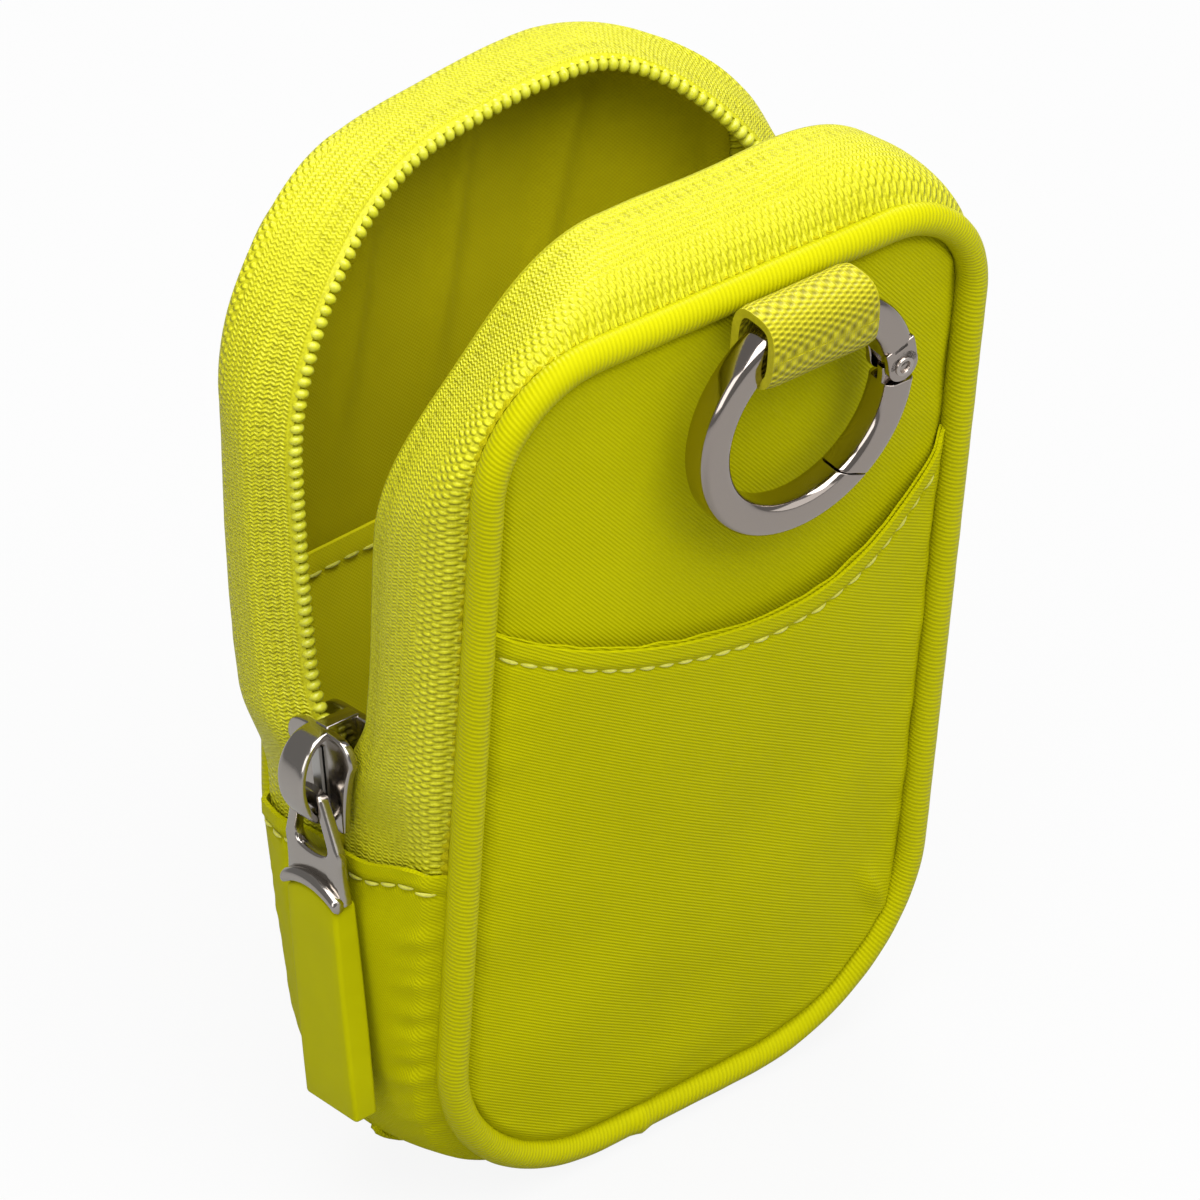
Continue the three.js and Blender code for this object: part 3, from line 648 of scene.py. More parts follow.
# Slip pocket: a second sheet of the nylon over the front panel, its mouth scooped in a long curve.
# The mouth is turned under and stitched, and a strip of facing shows behind it, a little frilled.
slip_end = 89 * mm
slip_scoop = 12.6 * mm
slip_low = 6 * mm
slip_span = pouch_width / 2 - panel_inset
slip_gape = 1.3 * mm
tuck_place = Vector((0.0285, 0.0215))


def slip_mouth(x):
    """Height of the mouth, lowest a little right of the middle and rising later on that side."""
    off = x - slip_low
    share = off / (slip_span - slip_low) if off > 0 else -off / (slip_span + slip_low)
    return slip_end - slip_scoop * (1 - share ** (2.2 if off > 0 else 1.7))


def slip_depth(x, z):
    """The pocket lies on the panel, gapes towards its mouth, and has one small tuck low on the right."""
    mouth = slip_mouth(x)
    lies = panel_depth(x, z, panel_face, panel_crown, panel_inset, panels["front"][2], panel_slack)
    gape = slip_gape * smooth(z, mouth - 34 * mm, mouth) * (1 - (x / slip_span) ** 4)
    below = mouth - z
    turned = 0.32 * mm * (1 - smooth(below, hem_depth - 0.4 * mm, hem_depth + 0.5 * mm))
    dip = 0.3 * mm * (1 - smooth(abs(below - hem_depth), 0.2 * mm, 0.8 * mm))
    off = Vector((x, z)) - tuck_place
    ridge = 0.9 * mm * math.exp(-((off.x + 0.5 * off.y) / (1.3 * mm)) ** 2 - (off.y / (4 * mm)) ** 2)
    slack = (soft_waves(x, z, 11.4, 15 * mm) + 1) * 0.16 * mm
    return lies + 0.55 * mm + gape + turned - dip + ridge + slack


def slip_lay(u, v):
    x = slip_span * math.sin((u - 0.5) * math.pi)
    foot = foot_and_head(x, panel_inset)[0]
    z = foot + (slip_mouth(x) - foot) * v
    return leaned(x, -slip_depth(x, z), z, front_lean), (x, z)


def facing_lay(u, v):
    x = slip_span * math.sin((u - 0.5) * math.pi) * 0.985
    frill = noise.noise(Vector((x / (3.2 * mm), 6.2, 0))) * 0.22 * mm
    z = slip_mouth(x) - 4.5 * mm + (4.7 * mm + frill) * v
    depth = slip_depth(x, min(z, slip_mouth(x))) - 0.6 * mm - frill * v * 0.4
    return leaned(x, -depth, z, front_lean), (x, z)


def slip_seam(x):
    """A point on the row of stitches under the mouth."""
    z = slip_mouth(x) - hem_depth
    return leaned(x, -slip_depth(x, z), z, front_lean)


slip_pocket = cloth("slip_pocket_cloth", 110, 150, slip_lay, 0.45 * mm)
slip_nylon = nylon_finish("slip_nylon", nylon_colour, nylon_shade, 0.53)
slip_pocket.data.materials.append(slip_nylon)
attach(slip_pocket, "front_half")
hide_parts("slip_pocket")
slip_facing = cloth("slip_pocket_facing_cloth", 180, 6, facing_lay, 0.3 * mm)
slip_facing.data.materials.append(slip_nylon)
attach(slip_facing, "front_half")
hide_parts("slip_pocket_facing")
slip_line = [slip_seam(slip_span * 0.965 * (i / 60 - 1)) for i in range(121)]
outward = leaned(0, -1, fold_height, front_lean) - leaned(0, 0, fold_height, front_lean)
stitch_row("slip_pocket_stitches", slip_line, [outward] * len(slip_line), "front_half")

# Seam bindings: soft tape folded over the raw seam inside each half.
# It is gathered as it goes round, so it lies in small even frills.
binding_depth = 12.65 * mm
binding_half_width = 1.9 * mm
binding_half_thickness = 0.75 * mm
binding_inset = 1.2 * mm
frill_pitch = 1.7 * mm
mouth_radius = 28 * mm


def corner_radius(y):
    """Radius of the bands' top corners, which grow rounder from the piping to the mouth."""
    share = min(abs(y) / band_edge, 1)
    return mouth_radius + (top_radius - mouth_radius) * share * share


def binding_lay(side, lean):
    def lay(u, v):
        along = u * whole_round
        turn = 2 * math.pi * v
        middle = binding_depth + binding_half_width * math.sin(turn)
        x, z, out_x, out_z = outline(along, corner_radius(middle))
        uneven = 2 * noise.noise(Vector((along * 300, 0, side)))
        frill = 0.5 + 0.5 * math.sin(2 * math.pi * along / frill_pitch + uneven)
        out = -binding_inset + binding_half_thickness * (0.75 + 0.5 * frill) * math.cos(turn)
        y = side * (binding_depth + binding_half_width * (0.92 + 0.14 * frill) * math.sin(turn))
        return leaned(x + out_x * out, y, z + out_z * out, lean), (along, v * 4 * binding_half_width)

    return lay


for half, (side, lean, _) in panels.items():
    laid = binding_lay(side, lean)
    binding = cloth(f"{half}_seam_binding_tape", 1000, 10, laid, 0, inside_out=side < 0)
    binding.data.materials.append(lining_weave)
    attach(binding, f"{half}_half")
    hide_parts(f"{half}_seam_binding")

# Zip tapes: broad knitted polyester tape sewn in between the piping and the coil.
# It is beaded like basket weave by the piping and slants like herringbone by the coil, with a firm edge.
tape_edge = 1.1 * mm
tape_width = band_edge - tape_edge
tape_cloth = 0.8 * mm
tape_colour = (0.68, 0.67, 0.014, 1)
tape_shade = (0.34, 0.32, 0.002, 1)
meet_from = 69 * mm
meet_to = 56 * mm
tape_rise = {1: -1.6 * mm, -1: 0.4 * mm}
tape_tuck = {1: 3.4 * mm, -1: 1.4 * mm}
tape_shape = {1: (4.9 * mm, 8, 3.0 * mm), -1: (3.3 * mm, 4, 1.7 * mm)}
tape_start = zip_end_run - 5 * mm
tape_reach = whole_round - 2 * tape_start


def meeting(z, edge, rest):
    """How far a zip edge is drawn in near the zip's ends, so that the two rows meet at the slider."""
    halfway = (z - fold_height) * math.tan((front_lean - back_lean) / 2)
    return (1 - smooth(z, meet_to, meet_from)) * (halfway + edge - rest)


def tape_stand(x, y, out_x, out_z, side):
    """How far the tape stands out: full between seam and mouth, curling in at its edge, higher on top.
    The front one is drawn in at its left corner and puffed up at its right."""
    top = max(out_z, 0) ** 2
    fullness, power, curl_depth = tape_shape[side]
    if side > 0:
        fullness -= 3.2 * mm * smooth(x, 8 * mm, 33 * mm)
    full = fullness * (1 - (abs(y) / band_edge) ** power)
    curl = curl_depth * (1 - 0.9 * top) * (1 - smooth(abs(y), 0.5 * mm, 7 * mm))
    rise = tape_rise[side] * top
    if side < 0:
        rise += 3.4 * mm * smooth(out_z, 0, 0.8) * smooth(x, 8 * mm, 26 * mm)
        rise -= 3.6 * mm * 4 * (min(out_x, 0) * max(out_z, 0)) ** 2
    return full - curl + rise * (1 - (y / band_edge) ** 2)


def tape_out(x, y, z, out_x, out_z, side, to_end):
    """How far out the tape lies: flat under the gusset's turned end, and full from there on."""
    hemmed = band_out(y, z, out_x, out_z) - 0.75 * mm
    return hemmed + (tape_stand(x, y, out_x, out_z, side) - hemmed) * smooth(to_end, 0, 15 * mm)


def from_zip_end(along):
    """Length along the outline from the nearer of the zip's ends."""
    return min(along - zip_end_run, whole_round - zip_end_run - along)


def tape_run(x, z):
    """Length along the flat tape from the top's middle to a point of the outline."""
    radius = 22 * mm
    off = Vector((max(abs(x) - pouch_width / 2 + radius, 0), max(z - pouch_height + radius, 0)))
    straight = min(abs(x), pouch_width / 2 - radius) + max(pouch_height - radius - z, 0)
    return math.copysign(straight + radius * math.atan2(off.x, off.y), x)


def tape_lay(side, lean):
    def lay(u, v):
        along = tape_start + tape_reach * u
        y = side * (band_edge - tape_width * v)
        x, z, out_x, out_z = outline(along, corner_radius(y))
        length = tape_run(x, z)
        to_seam = tape_width * v
        to_edge = tape_width * (1 - v)
        roll = 0.55 * mm * (1 - smooth(to_edge, 0, 1.0 * mm)) ** 2
        to_end = from_zip_end(along)
        tuck = 2.2 * mm + (tape_tuck[side] - 2.2 * mm) * smooth(to_end, 0, 15 * mm)
        tuck *= (1 - smooth(to_seam, 0, 2.4 * mm)) ** 1.5
        gather = noise.noise(Vector((along / (2.6 * mm), 1.5, side))) * 0.22 * mm
        gather *= 1 - smooth(to_seam, 0.5 * mm, 3.5 * mm)
        waves = soft_waves(along, y, 6.6 + side, 20 * mm) * 0.2 * mm * smooth(to_end, 0, 12 * mm)
        out = tape_out(x, y, z, out_x, out_z, side, to_end) - tuck - roll + gather + waves
        y -= side * meeting(z, tape_edge, 0.45 * mm) * v * v if z < meet_from else 0
        return leaned(x + out_x * out, y, z + out_z * out, lean), (length, to_seam)

    return lay


def tape_finish():
    """Knitted tape: raised beads by the seam, slanting loops, a ladder of needle marks, a smooth lip."""
    finish = Finish("zip_tape_knit", specular_ior_level=0.38, specular_tint=(1, 1, 0.55, 1))
    along, across = finish.cut()
    wander = finish.mottle(2.2, 1) * 0.1
    even_rows = (along + wander).wave(1.05) * (across + wander).wave(1.75)
    odd_rows = (along + wander + 0.525).wave(1.05) * (across + wander + 0.875).wave(1.75)
    beads = even_rows.math("MAXIMUM", odd_rows).above(0.2, 0.95)
    loops = (along + across.zigzag(0.9) * 0.6 + wander).wave(0.5)
    to_edge = tape_width / mm - across
    by_seam = across.above(4.8, 3.8)
    lip = to_edge.above(0.75, 0.45)
    knit = beads * by_seam + loops * 0.5 * (1 - by_seam) * (1 - lip)
    ladder = along.wave(1.45).above(0.45, 0.85) * (to_edge - 2.9).math("ABSOLUTE").above(0.95, 0.6)
    sparkle = finish.mottle(0.34, 1)
    # The fine flecks vary the fibres' roughness and relief, and they also lighten the colour as painted
    # glints.
    shade = knit * 0.5 + (sparkle - 0.5) * 1.2 + 0.45 - ladder * 0.2
    finish.set("Base Color", finish.colours(shade, tape_shade, tape_colour))
    finish.set("Roughness", 0.6 - sparkle * 0.3)
    finish.bump(knit + sparkle * 0.6 * (1 - lip) * (1 - by_seam) - ladder * 0.3, 0.34 * mm, 0.8)
    return finish.material


tape_knit = tape_finish()
tape_length = whole_round - 2 * zip_end_run
for half, (side, lean, _) in panels.items():
    tape = cloth(f"{half}_zip_tape_cloth", 400, 26, tape_lay(side, lean), tape_cloth, inside_out=side > 0)
    tape.data.materials.append(tape_knit)
    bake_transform(tape)
    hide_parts(f"{half}_zip_tape")

# Zip coil: a nylon spiral sewn under each tape's edge, so only its rounded heads show beyond it.
# One head with its shank is modelled and copied along the edge at the coil's pitch.
tooth_pitch = 1.4 * mm
tooth_tip = 0.3 * mm
coil_sink = {1: 0.35 * mm, -1: 0.9 * mm}
tooth_colour = (0.6, 0.61, 0.05, 1)


def tooth():
    """A rounded head, egg-shaped, with a shank that runs back under the tape."""
    turn = (math.pi / 2, 0, 0)
    bpy.ops.mesh.primitive_uv_sphere_add(segments=10, ring_count=8, radius=1, rotation=turn)
    bpy.ops.object.transform_apply(location=False, rotation=True, scale=False)
    head = bpy.context.object
    for vertex in head.data.vertices:
        behind = max(vertex.co.y, 0)
        vertex.co.x *= 0.69 * mm * (1 - 0.3 * behind)
        vertex.co.z *= 0.95 * mm * (1 - 0.2 * behind)
        vertex.co.y *= (0.9 + 0.9 * behind) * mm
    return head


def coil_finish():
    """Glossy, slightly see-through nylon thread."""
    finish = Finish(
        "coil_nylon", specular_ior_level=0.5, subsurface_weight=0.25, subsurface_radius=(1, 1, 0.2),
        subsurface_scale=0.6 * mm,
    )
    clouds = finish.mottle(2.5, 1)
    finish.set("Base Color", finish.colours(clouds, nylon_colour, tooth_colour))
    finish.set("Roughness", 0.22 + clouds * 0.12)
    return finish.material


def coil_place(along, side, lean):
    """A point on the line of the coil's heads under the tape's edge, and the way out of the mouth there."""
    x, z, out_x, out_z = outline(along, mouth_radius)
    under = tape_cloth + coil_sink[side]
    out = tape_out(x, side * tape_edge, z, out_x, out_z, side, from_zip_end(along)) - under
    drawn_in = meeting(z, tooth_tip, 0.05 * mm) if z < meet_from else 0
    y = side * (tooth_tip + 0.7 * mm + coil_sink[side] - drawn_in)
    up = leaned(out_x, 0, fold_height + out_z, lean) - leaned(0, 0, fold_height, lean)
    return leaned(x + out_x * out, y, z + out_z * out, lean), up


coil_nylon = coil_finish()
for half, (side, lean, _) in panels.items():
    edge = [coil_place(zip_end_run + tape_length * step / 600, side, lean) for step in range(601)]
    places = []
    for index, share in evenly([place for place, _ in edge], tooth_pitch, 0.5 + 0.25 * side):
        place = edge[index][0].lerp(edge[index + 1][0], share)
        back = leaned(0, side, fold_height, lean) - leaned(0, 0, fold_height, lean)
        up = edge[index][1]
        turn = Matrix((back.cross(up), back, up)).transposed().to_4x4()
        places.append(Matrix.Translation(place) @ turn)
    coil = row_of(f"{half}_zip_coil", tooth(), places)
    coil.data.materials.append(coil_nylon)
    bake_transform(coil)
    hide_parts(f"{half}_zip_teeth")

# Webbing loop: a short length of shiny ribbed webbing round the ring's bar, sewn in under the top piping.
# It is stiff enough to stand open at its ends, with the ring passing through it.
loop_width = 15.4 * mm
loop_offset = 4.3 * mm
loop_thickness = 1.1 * mm
loop_centre = (-22.2 * mm, 119.0 * mm)
loop_half_depth = 3.8 * mm
loop_half_height = 4.7 * mm
webbing_colour = (0.64, 0.59, 0.02, 1)
# The dark colour between the floats is painted shade.
webbing_painted_shade = (0.12, 0.105, 0.001, 1)


def squared(turn, roundness=0.5):
    """Cosine and sine drawn out towards a square with round corners."""
    return tuple(math.copysign(abs(part) ** roundness, part) for part in (math.cos(turn), math.sin(turn)))


def loop_lay(u, v):
    turn = 2 * math.pi * v
    deep, tall = squared(turn, 0.66)
    swell = 1 + 0.02 * soft_waves(u * 20 * mm, v * 40 * mm, 9.2, 9 * mm)
    selvedge = 0.18 * mm * (1 - smooth(min(u, 1 - u) * loop_width, 0, 1.2 * mm))
    y = loop_centre[0] - (loop_half_depth * swell - selvedge) * deep
    z = loop_centre[1] + (loop_half_height * swell - selvedge) * tall
    x = loop_offset + loop_width * (u - 0.5) * (1 - 0.015 * math.sin(turn))
    return leaned(x, y, z, front_lean), (u * loop_width, v * 28 * mm)


def webbing_finish():
    """Close ribs with floats that step over one another from row to row. Their colour is partly painted
    light: bright floats as painted highlight, dark gaps as painted shade, a fine mottle as painted sheen.
    """
    finish = Finish("webbing_ribs", specular_ior_level=0.2, specular_tint=(1, 0.95, 0.4, 1))
    across, around = finish.cut()
    rows = around.wave(0.93)
    floats = across.wave(1.7) * rows + (across + 0.85).wave(1.7) * (around + 0.465).wave(0.93)
    strands = across.wave(0.34)
    gloss = finish.mottle(0.5, 1)
    # The floats' bright colour is a painted highlight, the dark colour between them painted shade, and the
    # fine mottle lightens the colour as painted sheen.
    finish.set("Base Color", finish.colours(floats * 0.75 + gloss * 0.3, webbing_painted_shade, webbing_colour))
    finish.set("Roughness", 0.42 - floats * 0.15)
    finish.bump(floats + strands * 0.2, 0.22 * mm, 0.8)
    return finish.material


webbing = cloth("webbing_loop_band", 48, 96, loop_lay, loop_thickness)
webbing.data.materials.append(webbing_finish())
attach(webbing, "ring_loop")
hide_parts("webbing_loop")

# Ring: cast and polished nickel-plated zinc, a flat-faced bar with soft edges bent round to a fork.
# Its nose is cut on a slant where the gate closes on it.
ring_centre = Vector(joints["ring_spin"]["pos_m"])
ring_place = Matrix.Translation(ring_centre) @ Matrix.Rotation(front_lean, 4, "X")
ring_bar = 4.2 * mm
ring_mean = 13.4 * mm
ring_edge = 1.15 * mm
pivot_angle = math.radians(8)
nose_angle = math.radians(-55)
cheek_reach = ring_bar / 2
cheek = 0.9 * mm
ring_gap = 0.3 * mm
nose_reach = 2 * ring_mean * math.sin((pivot_angle - nose_angle) / 2)
pivot = Vector((ring_mean * math.cos(pivot_angle), 0, ring_mean * math.sin(pivot_angle)))
nose = Vector((ring_mean * math.cos(nose_angle), 0, ring_mean * math.sin(nose_angle)))


def ring_sector(name, first, last, deep, offset, edge):
    """A bar with rounded edges spun round the ring's middle from one angle to another."""
    bpy.ops.mesh.primitive_plane_add(size=1)
    bar = bpy.context.object
    bar.name = bar.data.name = name
    bar.data.transform(Matrix.Diagonal((ring_bar, deep, 1, 1)))
    with editing():
        bpy.ops.mesh.bevel(offset=edge, segments=5, affect="VERTICES")
    bar.data.transform(Matrix.Rotation(-first, 4, "Y") @ Matrix.Translation((ring_mean, offset, 0)))
    steps = max(int((last - first) / math.radians(2.5)), 3)
    with editing():
        bpy.ops.mesh.spin(steps=steps, angle=last - first, center=(0, 0, 0), axis=(0, 1, 0))
        bpy.ops.mesh.select_all(action="SELECT")
        bpy.ops.mesh.remove_doubles(threshold=0.001 * mm)
        bpy.ops.mesh.normals_make_consistent(inside=False)
    return bar


def select_faces(piece, wanted):
    """Selects the faces of a mesh in edit mode for which wanted is true."""
    shape = bmesh.from_edit_mesh(piece.data)
    for face in shape.faces:
        face.select = wanted(face)
    bmesh.update_edit_mesh(piece.data)


def slant_nose(bar, reach, keep_far):
    """Cuts the bar's end near the nose square to the line from the pivot."""
    line = (nose - pivot).normalized()
    bpy.context.view_layer.objects.active = bar
    with editing("DESELECT", "FACE"):
        select_faces(bar, lambda face: (face.calc_center_median() - nose).length < 7 * mm)
        bpy.ops.mesh.bisect(
            plane_co=pivot + line * reach, plane_no=line, use_fill=True,
            clear_inner=keep_far, clear_outer=not keep_far,
        )
        bpy.ops.mesh.select_all(action="SELECT")
        bpy.ops.mesh.normals_make_consistent(inside=False)


def round_plate(radius, deep, offset):
    """A disc across the ring's axis at the pivot."""
    bpy.ops.mesh.primitive_cylinder_add(
        vertices=40, radius=radius, depth=deep,
        location=pivot + Vector((0, offset, 0)), rotation=(math.pi / 2, 0, 0),
    )
    bpy.ops.object.transform_apply()
    return bpy.context.object


def assemble(name, parts, place, edge, material):
    """Joins parts into one piece, breaks its sharp edges and carries it to its place."""
    bpy.ops.object.select_all(action="DESELECT")
    for part in parts:
        part.select_set(True)
    bpy.context.view_layer.objects.active = parts[0]
    bpy.ops.object.join()
    made = bpy.context.object
    made.name = made.data.name = name
    if edge:
        soft = made.modifiers.new("broken_edges", "BEVEL")
        soft.width = edge
        soft.segments = 3
        soft.limit_method = "ANGLE"
        soft.angle_limit = math.radians(40)
        bpy.ops.object.modifier_apply(modifier=soft.name)
    bpy.ops.object.shade_smooth_by_angle(angle=math.radians(35))
    made.data.transform(place)
    made.data.materials.clear()
    made.data.materials.append(material)
    return made


def nickel_finish(name, colour, rough):
    """Bright nickel plate, very slightly uneven, with faint handling marks."""
    finish = Finish(name, metallic=1.0, base_color=colour)
    clouds = finish.mottle(6)
    sockets = {"Vector": finish.place(), "Scale": 2.2, "Detail": 6.0, "Roughness": 0.75}
    marks = finish.node("ShaderNodeTexNoise", {}, sockets)
    finish.set("Roughness", rough + clouds * 0.08 + marks.above(0.6, 0.75) * 0.06)
    finish.bump(clouds + marks * 0.05, 0.05 * mm, 0.25)
    return finish.material


ring_nickel = nickel_finish("ring_nickel", (0.41, 0.36, 0.325, 1), 0.07)
fork_start = pivot_angle + (cheek_reach + ring_gap) / ring_mean
nose_spare = math.radians(10)
body_end = 2 * math.pi + nose_angle + nose_spare
body_bar = ring_sector("ring_bar", fork_start, body_end, ring_bar, 0, ring_edge)
slant_nose(body_bar, nose_reach + ring_gap / 3, True)
cheeks = []
for side in (-1, 1):
    offset = side * (ring_bar - cheek) / 2
    arm_end = fork_start + math.radians(3)
    cheeks.append(ring_sector("cheek_arm", pivot_angle, arm_end, cheek, offset, 0.25 * mm))
    cheeks.append(round_plate(cheek_reach, cheek, offset))
ring_body = assemble("ring_body_metal", [body_bar, *cheeks], ring_place, 0.12 * mm, ring_nickel)
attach(ring_body, "clip_ring")
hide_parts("ring_body")

# Gate: the same bar, on a rivet through the fork, pushed shut by a small wound spring beside its tongue.
# The rivet's front end is a rolled eyelet with a hollow middle.
tongue_deep = 1.2 * mm
tongue_offset = -0.4 * mm
gate_root = pivot_angle - (cheek_reach + ring_gap) / ring_mean
gate_bar = ring_sector("gate_bar", nose_angle - nose_spare, gate_root, ring_bar, 0, ring_edge)
slant_nose(gate_bar, nose_reach - ring_gap / 3, False)
tongue = [
    ring_sector("tongue", gate_root - math.radians(4), pivot_angle, tongue_deep, tongue_offset, 0.3 * mm),
    round_plate(1.5 * mm, tongue_deep, tongue_offset),
]
gate = assemble("ring_gate_metal", [gate_bar, *tongue], ring_place, 0.12 * mm, ring_nickel)
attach(gate, "gate")
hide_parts("ring_gate")

rivet_metal = nickel_finish("rivet_nickel", (0.50, 0.45, 0.41, 1), 0.16)
rivet = round_plate(1.25 * mm, ring_bar + 0.6 * mm, 0)
with editing("DESELECT", "FACE"):
    select_faces(rivet, lambda face: abs(face.normal.y) > 0.9)
    bpy.ops.mesh.inset(thickness=0.5 * mm, use_individual=True)
    bpy.ops.mesh.extrude_faces_move(TRANSFORM_OT_shrink_fatten={"value": -0.7 * mm})
rivet = assemble("gate_rivet", [rivet], ring_place, 0.14 * mm, rivet_metal)
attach(rivet, "clip_ring")
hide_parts("gate_pin")
spring_steel = nickel_finish("spring_steel", (0.5, 0.49, 0.47, 1), 0.25)
for name in ("gate_spring", "slider_pawl"):
    node = frame["nodes"][name]
    node.data.materials.clear()
    node.data.materials.append(spring_steel)

# Slider: two shield-shaped plates on one post, die-cast and nickel plated, that draw the coils together.
# A broad strap, the crown, arches over the front plate from nose to tail, and the pull hangs in it.
slider_height = 59.4 * mm
rows_apart = (slider_height - fold_height) * math.tan(front_lean - back_lean)
slider_place = Matrix.Translation(leaned(-pouch_width / 2, -rows_apart / 2, slider_height, back_lean))
slider_place = slider_place @ Matrix.Rotation(math.radians(-6), 4, "X")
plate = 1.2 * mm
plate_front = -2.95 * mm
plate_back = 0.65 * mm
slider_nose = 6 * mm
slider_tail = 7 * mm


def bent(start, control, end, steps=8):
    """Points along a curve that leaves start towards control and comes to end, without the last."""
    shares = [i / steps for i in range(steps)]
    start, control, end = Vector(start), Vector(control), Vector(end)
    return [start * (1 - t) ** 2 + control * 2 * t * (1 - t) + end * t * t for t in shares]


def stamped(name, rim, front, back, hole=None):
    """A plate cut to an outline in Y and Z, from front to back along X. A hole has as many points."""
    fill = "NOTHING" if hole else "NGON"
    bpy.ops.mesh.primitive_circle_add(vertices=len(rim), radius=1, fill_type=fill)
    made = bpy.context.object
    made.name = made.data.name = name
    for vertex, (y, z) in zip(made.data.vertices, rim):
        vertex.co = (front, y, z)
    if hole:
        bpy.ops.mesh.primitive_circle_add(vertices=len(hole), radius=1, fill_type="NOTHING")
        eye = bpy.context.object
        for vertex, (y, z) in zip(eye.data.vertices, hole):
            vertex.co = (front, y, z)
        made.select_set(True)
        bpy.context.view_layer.objects.active = made
        bpy.ops.object.join()
    with editing(kind="EDGE"):
        if hole:
            bpy.ops.mesh.bridge_edge_loops()
            bpy.ops.mesh.select_all(action="SELECT")
        bpy.ops.mesh.extrude_region_move(TRANSFORM_OT_translate={"value": (back - front, 0, 0)})
        bpy.ops.mesh.select_all(action="SELECT")
        bpy.ops.mesh.normals_make_consistent(inside=False)
    return made


def mirrored(side):
    """The other side of a rim whose points go up or down one side."""
    return [Vector((-point.x, point.y)) for point in reversed(side)]


shoulder = (6 * mm, 2.9 * mm)
tail = (3.3 * mm, -slider_tail)
nose_end = Vector((2.1 * mm, slider_nose))
right_rim = bent(tail, (4.2 * mm, 0), shoulder)
right_rim += bent(shoulder, (6 * mm, slider_nose), nose_end) + [nose_end]
shield = right_rim + mirrored(right_rim)
slider_nickel = nickel_finish("slider_nickel", (0.45, 0.415, 0.38, 1), 0.13)
front_plate = stamped("front_plate", shield, plate_front - plate, plate_front)
back_plate = stamped("back_plate", shield, plate_back, plate_back + plate)
post_rim = [Vector((y * mm, z * mm)) for y, z in ((-0.9, 2.6), (0.9, 2.6), (1.2, 6.2), (-1.2, 6.2))]
post = stamped("post", post_rim, plate_front - plate / 2, plate_back + plate / 2)
slider_parts = [front_plate, back_plate, post]
slider = assemble("slider_body_metal", slider_parts, slider_place, 0.32 * mm, slider_nickel)
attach(slider, "zip_slider")
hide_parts("slider_body")

crown_rise = 4.7 * mm
crown_reach = 6.1 * mm
crown_metal = 1.1 * mm
crown_foot = plate_front - plate + 0.3 * mm


def crown_lay(u, v):
    turn = math.pi * u
    deep, wide = squared(2 * math.pi * v)
    across = (1.9 + 0.45 * math.sin(turn) - 0.2 * u) * mm
    lift = crown_metal / 2 * (1 + deep) - crown_metal
    x = crown_foot - (crown_rise + lift + 0.3 * mm) * math.sin(turn)
    z = (crown_reach + lift) * math.cos(turn)
    return Vector((x, across * wide, z)), (u * 14 * mm, v * 9 * mm)


def bar_of(name, columns, rows, lay):
    """A bar laid like a tube of cloth and closed at both ends."""
    made = cloth(name, columns, rows, lay, 0)
    with editing():
        bpy.ops.mesh.fill_holes(sides=0)
        bpy.ops.mesh.normals_make_consistent(inside=False)
    return made


crown = bar_of("crown", 40, 20, crown_lay)
crown = assemble("slider_crown_metal", [crown], slider_place, 0, slider_nickel)
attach(crown, "zip_slider")
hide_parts("slider_crown")

# Pull: a nickel link with a tapered eye that hangs on the crown, and a soft moulded tab below it.
# The link's foot is a hollowed lip that grips the top of the tab.
pull_hinge = Vector(joints["pull_swing"]["pos_m"])
pull_place = Matrix.Translation(pull_hinge) @ Matrix.Rotation(math.radians(-6), 4, "X")
link_metal = 1.6 * mm
link_half = 5 * mm
link_foot = -12.7 * mm
eye_steps = 7
rim_head = (2.6 * mm, 0.8 * mm)
rim_waist = (link_half, -6.5 * mm)
rim_foot = (link_half + 0.3 * mm, link_foot)
eye_head = (1.7 * mm, -0.8 * mm)
eye_waist = (2.9 * mm, -4.6 * mm)
eye_foot = (2.4 * mm, -6.8 * mm)


def closed_rim(down, under, over):
    """A rim from the curves down its right side and the points that its foot and its head bend towards."""
    right = [point for curve in down for point in bent(*curve, eye_steps)] + [Vector(down[-1][-1])]
    left = mirrored(right)
    across = bent(right[-1], under, left[0], eye_steps)
    return right[:-1] + across + left[:-1] + bent(left[-1], over, right[0], eye_steps)


link_rim = closed_rim(
    [(rim_head, (3.6 * mm, -2.5 * mm), rim_waist), (rim_waist, (4.7 * mm, -10 * mm), rim_foot)],
    (0, link_foot + 3.4 * mm), (0, 2.0 * mm),
)
link_eye = closed_rim(
    [(eye_head, (2.2 * mm, -2.5 * mm), eye_waist), (eye_waist, (3.4 * mm, -6.0 * mm), eye_foot)],
    (0, -7.6 * mm), (0, -0.5 * mm),
)
link_plate = stamped("link_plate", link_rim, -link_metal / 2, link_metal / 2, link_eye)
lip_radius = 0.95 * mm


def lip_lay(u, v):
    across = (2 * u - 1) * (link_half + 0.2 * mm)
    turn = 2 * math.pi * v
    rise = 1.5 * mm * (1 - (across / link_half) ** 2)
    x = -link_metal / 2 - 0.35 * mm + lip_radius * math.cos(turn)
    z = link_foot + 0.5 * mm + rise + lip_radius * math.sin(turn)
    return Vector((x, across, z)), (across, v * 6 * mm)


lip = bar_of("lip", 24, 14, lip_lay)
link = assemble("pull_link_metal", [link_plate, lip], pull_place, 0.4 * mm, slider_nickel)
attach(link, "zip_pull")
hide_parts("pull_link")

tab_width = 9.5 * mm
tab_length = 29 * mm
tab_thickness = 3.5 * mm
tab_top = link_foot - 0.3 * mm
tab_colour = (0.45, 0.442, 0.002, 1)


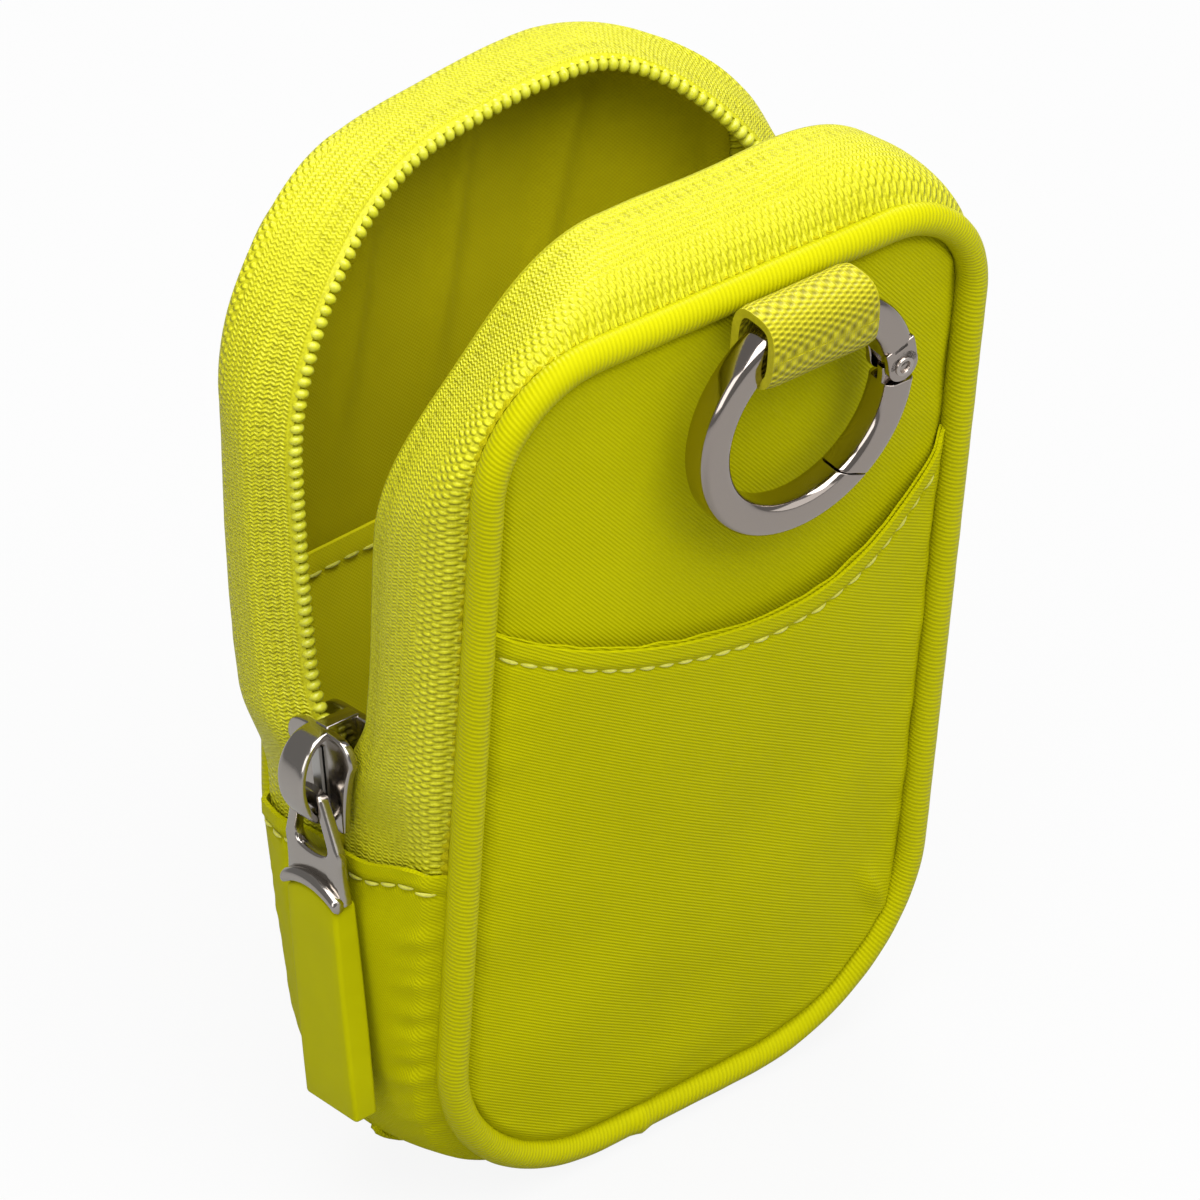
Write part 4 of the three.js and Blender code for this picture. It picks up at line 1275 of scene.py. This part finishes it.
def silicone_finish():
    """Soft matt silicone, coloured through, with a fine moulded skin."""
    finish = Finish(
        "tab_silicone", specular_ior_level=0.05, specular_tint=(1, 0.98, 0.05, 1),
        subsurface_weight=0.1, subsurface_radius=(1, 0.9, 0.1), subsurface_scale=1.2 * mm,
    )
    clouds = finish.mottle(5)
    skin = finish.mottle(0.25, 3)
    finish.set("Base Color", finish.colours(clouds, nylon_shade, tab_colour))
    finish.set("Roughness", 0.42 + clouds * 0.12)
    finish.bump(skin, 0.03 * mm, 0.4)
    return finish.material


bpy.ops.mesh.primitive_cube_add(size=1)
tab = bpy.context.object
tab.data.transform(Matrix.Diagonal((tab_thickness, tab_width, tab_length, 1)))
with editing():
    bpy.ops.mesh.subdivide(number_cuts=5)
for vertex in tab.data.vertices:
    across = 2 * vertex.co.y / tab_width
    down = 2 * vertex.co.z / tab_length
    vertex.co.x *= 1 - 0.07 * down * down
    vertex.co.y *= 1 - 0.03 * down
    if down > 0.99:
        vertex.co.z += 1.4 * mm * (1 - across * across)
    vertex.co.z += tab_top - tab_length / 2
tab = assemble("pull_tab_soft", [tab], pull_place, 0.85 * mm, silicone_finish())
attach(tab, "zip_pull")
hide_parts("pull_tab")

# Floor, light and camera: a pale floor that runs off to white, soft light mostly from above,
# and a long lens at the height from which the pouch is looked down on.
floor_half = 1.5
photo_azimuth = math.radians(-39.17)
photo_elevation = math.radians(34.55)
camera_aim = Vector((0.9 * mm, 2.05 * mm, 67.06 * mm))
camera_distance = 0.873
frame_width = 139.9 * mm


def floor_finish():
    """Matt grey-white paper that the camera sees as white, with a faint shadow."""
    finish = Finish("floor_paper", base_color=(0.32, 0.32, 0.32, 1))
    grain = finish.mottle(40)
    finish.set("Roughness", 0.85 + grain * 0.1)
    seen = finish.node("ShaderNodeLightPath", output="Is Camera Ray")
    white = finish.node("ShaderNodeEmission", {}, {"Color": (1, 1, 1, 1), "Strength": 1.03})
    paper = Value(finish.tree, finish.shader.outputs[0])
    mixed = finish.node("ShaderNodeMixShader", {}, {0: seen * 0.88, 1: paper, 2: white})
    feed(finish.tree.nodes["Material Output"].inputs["Surface"], mixed)
    return finish.material


bpy.ops.mesh.primitive_grid_add(x_subdivisions=8, y_subdivisions=8, size=2 * floor_half)
floor = bpy.context.object
floor.name = "floor"
floor.data.materials.append(floor_finish())


def lamp(name, place, size, power):
    """A square soft box pointed at the pouch."""
    light = bpy.data.lights.new(name, "AREA")
    light.size = size
    light.energy = power
    made = bpy.data.objects.new(name, light)
    made.location = place
    made.rotation_euler = (camera_aim - Vector(place)).to_track_quat("-Z", "Y").to_euler()
    bpy.context.scene.collection.objects.link(made)


lamp("overhead_box", (-0.1, -0.3, 0.95), 1.0, 16.2)
lamp("back_box", (0.5, 0.7, 0.75), 0.7, 8.0)
lamp("left_box", (-0.9, -0.3, 0.5), 0.6, 2.8)
lamp("right_box", (0.6, -0.85, 0.55), 1.0, 3.2)
world = bpy.data.worlds.new("studio")
world.use_nodes = True
world.node_tree.nodes["Background"].inputs["Color"].default_value = (1, 1, 1, 1)
seen = Value(world.node_tree, world.node_tree.nodes.new("ShaderNodeLightPath").outputs["Is Camera Ray"])
feed(world.node_tree.nodes["Background"].inputs["Strength"], seen * 0.8 + 0.24)
bpy.context.scene.world = world
bpy.context.scene.view_settings.view_transform = "Standard"

toward = Vector((
    math.sin(photo_azimuth) * math.cos(photo_elevation),
    -math.cos(photo_azimuth) * math.cos(photo_elevation),
    math.sin(photo_elevation),
))
camera = bpy.data.objects.new("camera", bpy.data.cameras.new("camera"))
camera.location = camera_aim + toward * camera_distance
camera.rotation_euler = (-toward).to_track_quat("-Z", "Y").to_euler()
camera.data.sensor_width = 36
camera.data.lens = 36 * camera_distance / frame_width
camera.data.clip_end = 20
bpy.context.scene.collection.objects.link(camera)
bpy.context.scene.camera = camera
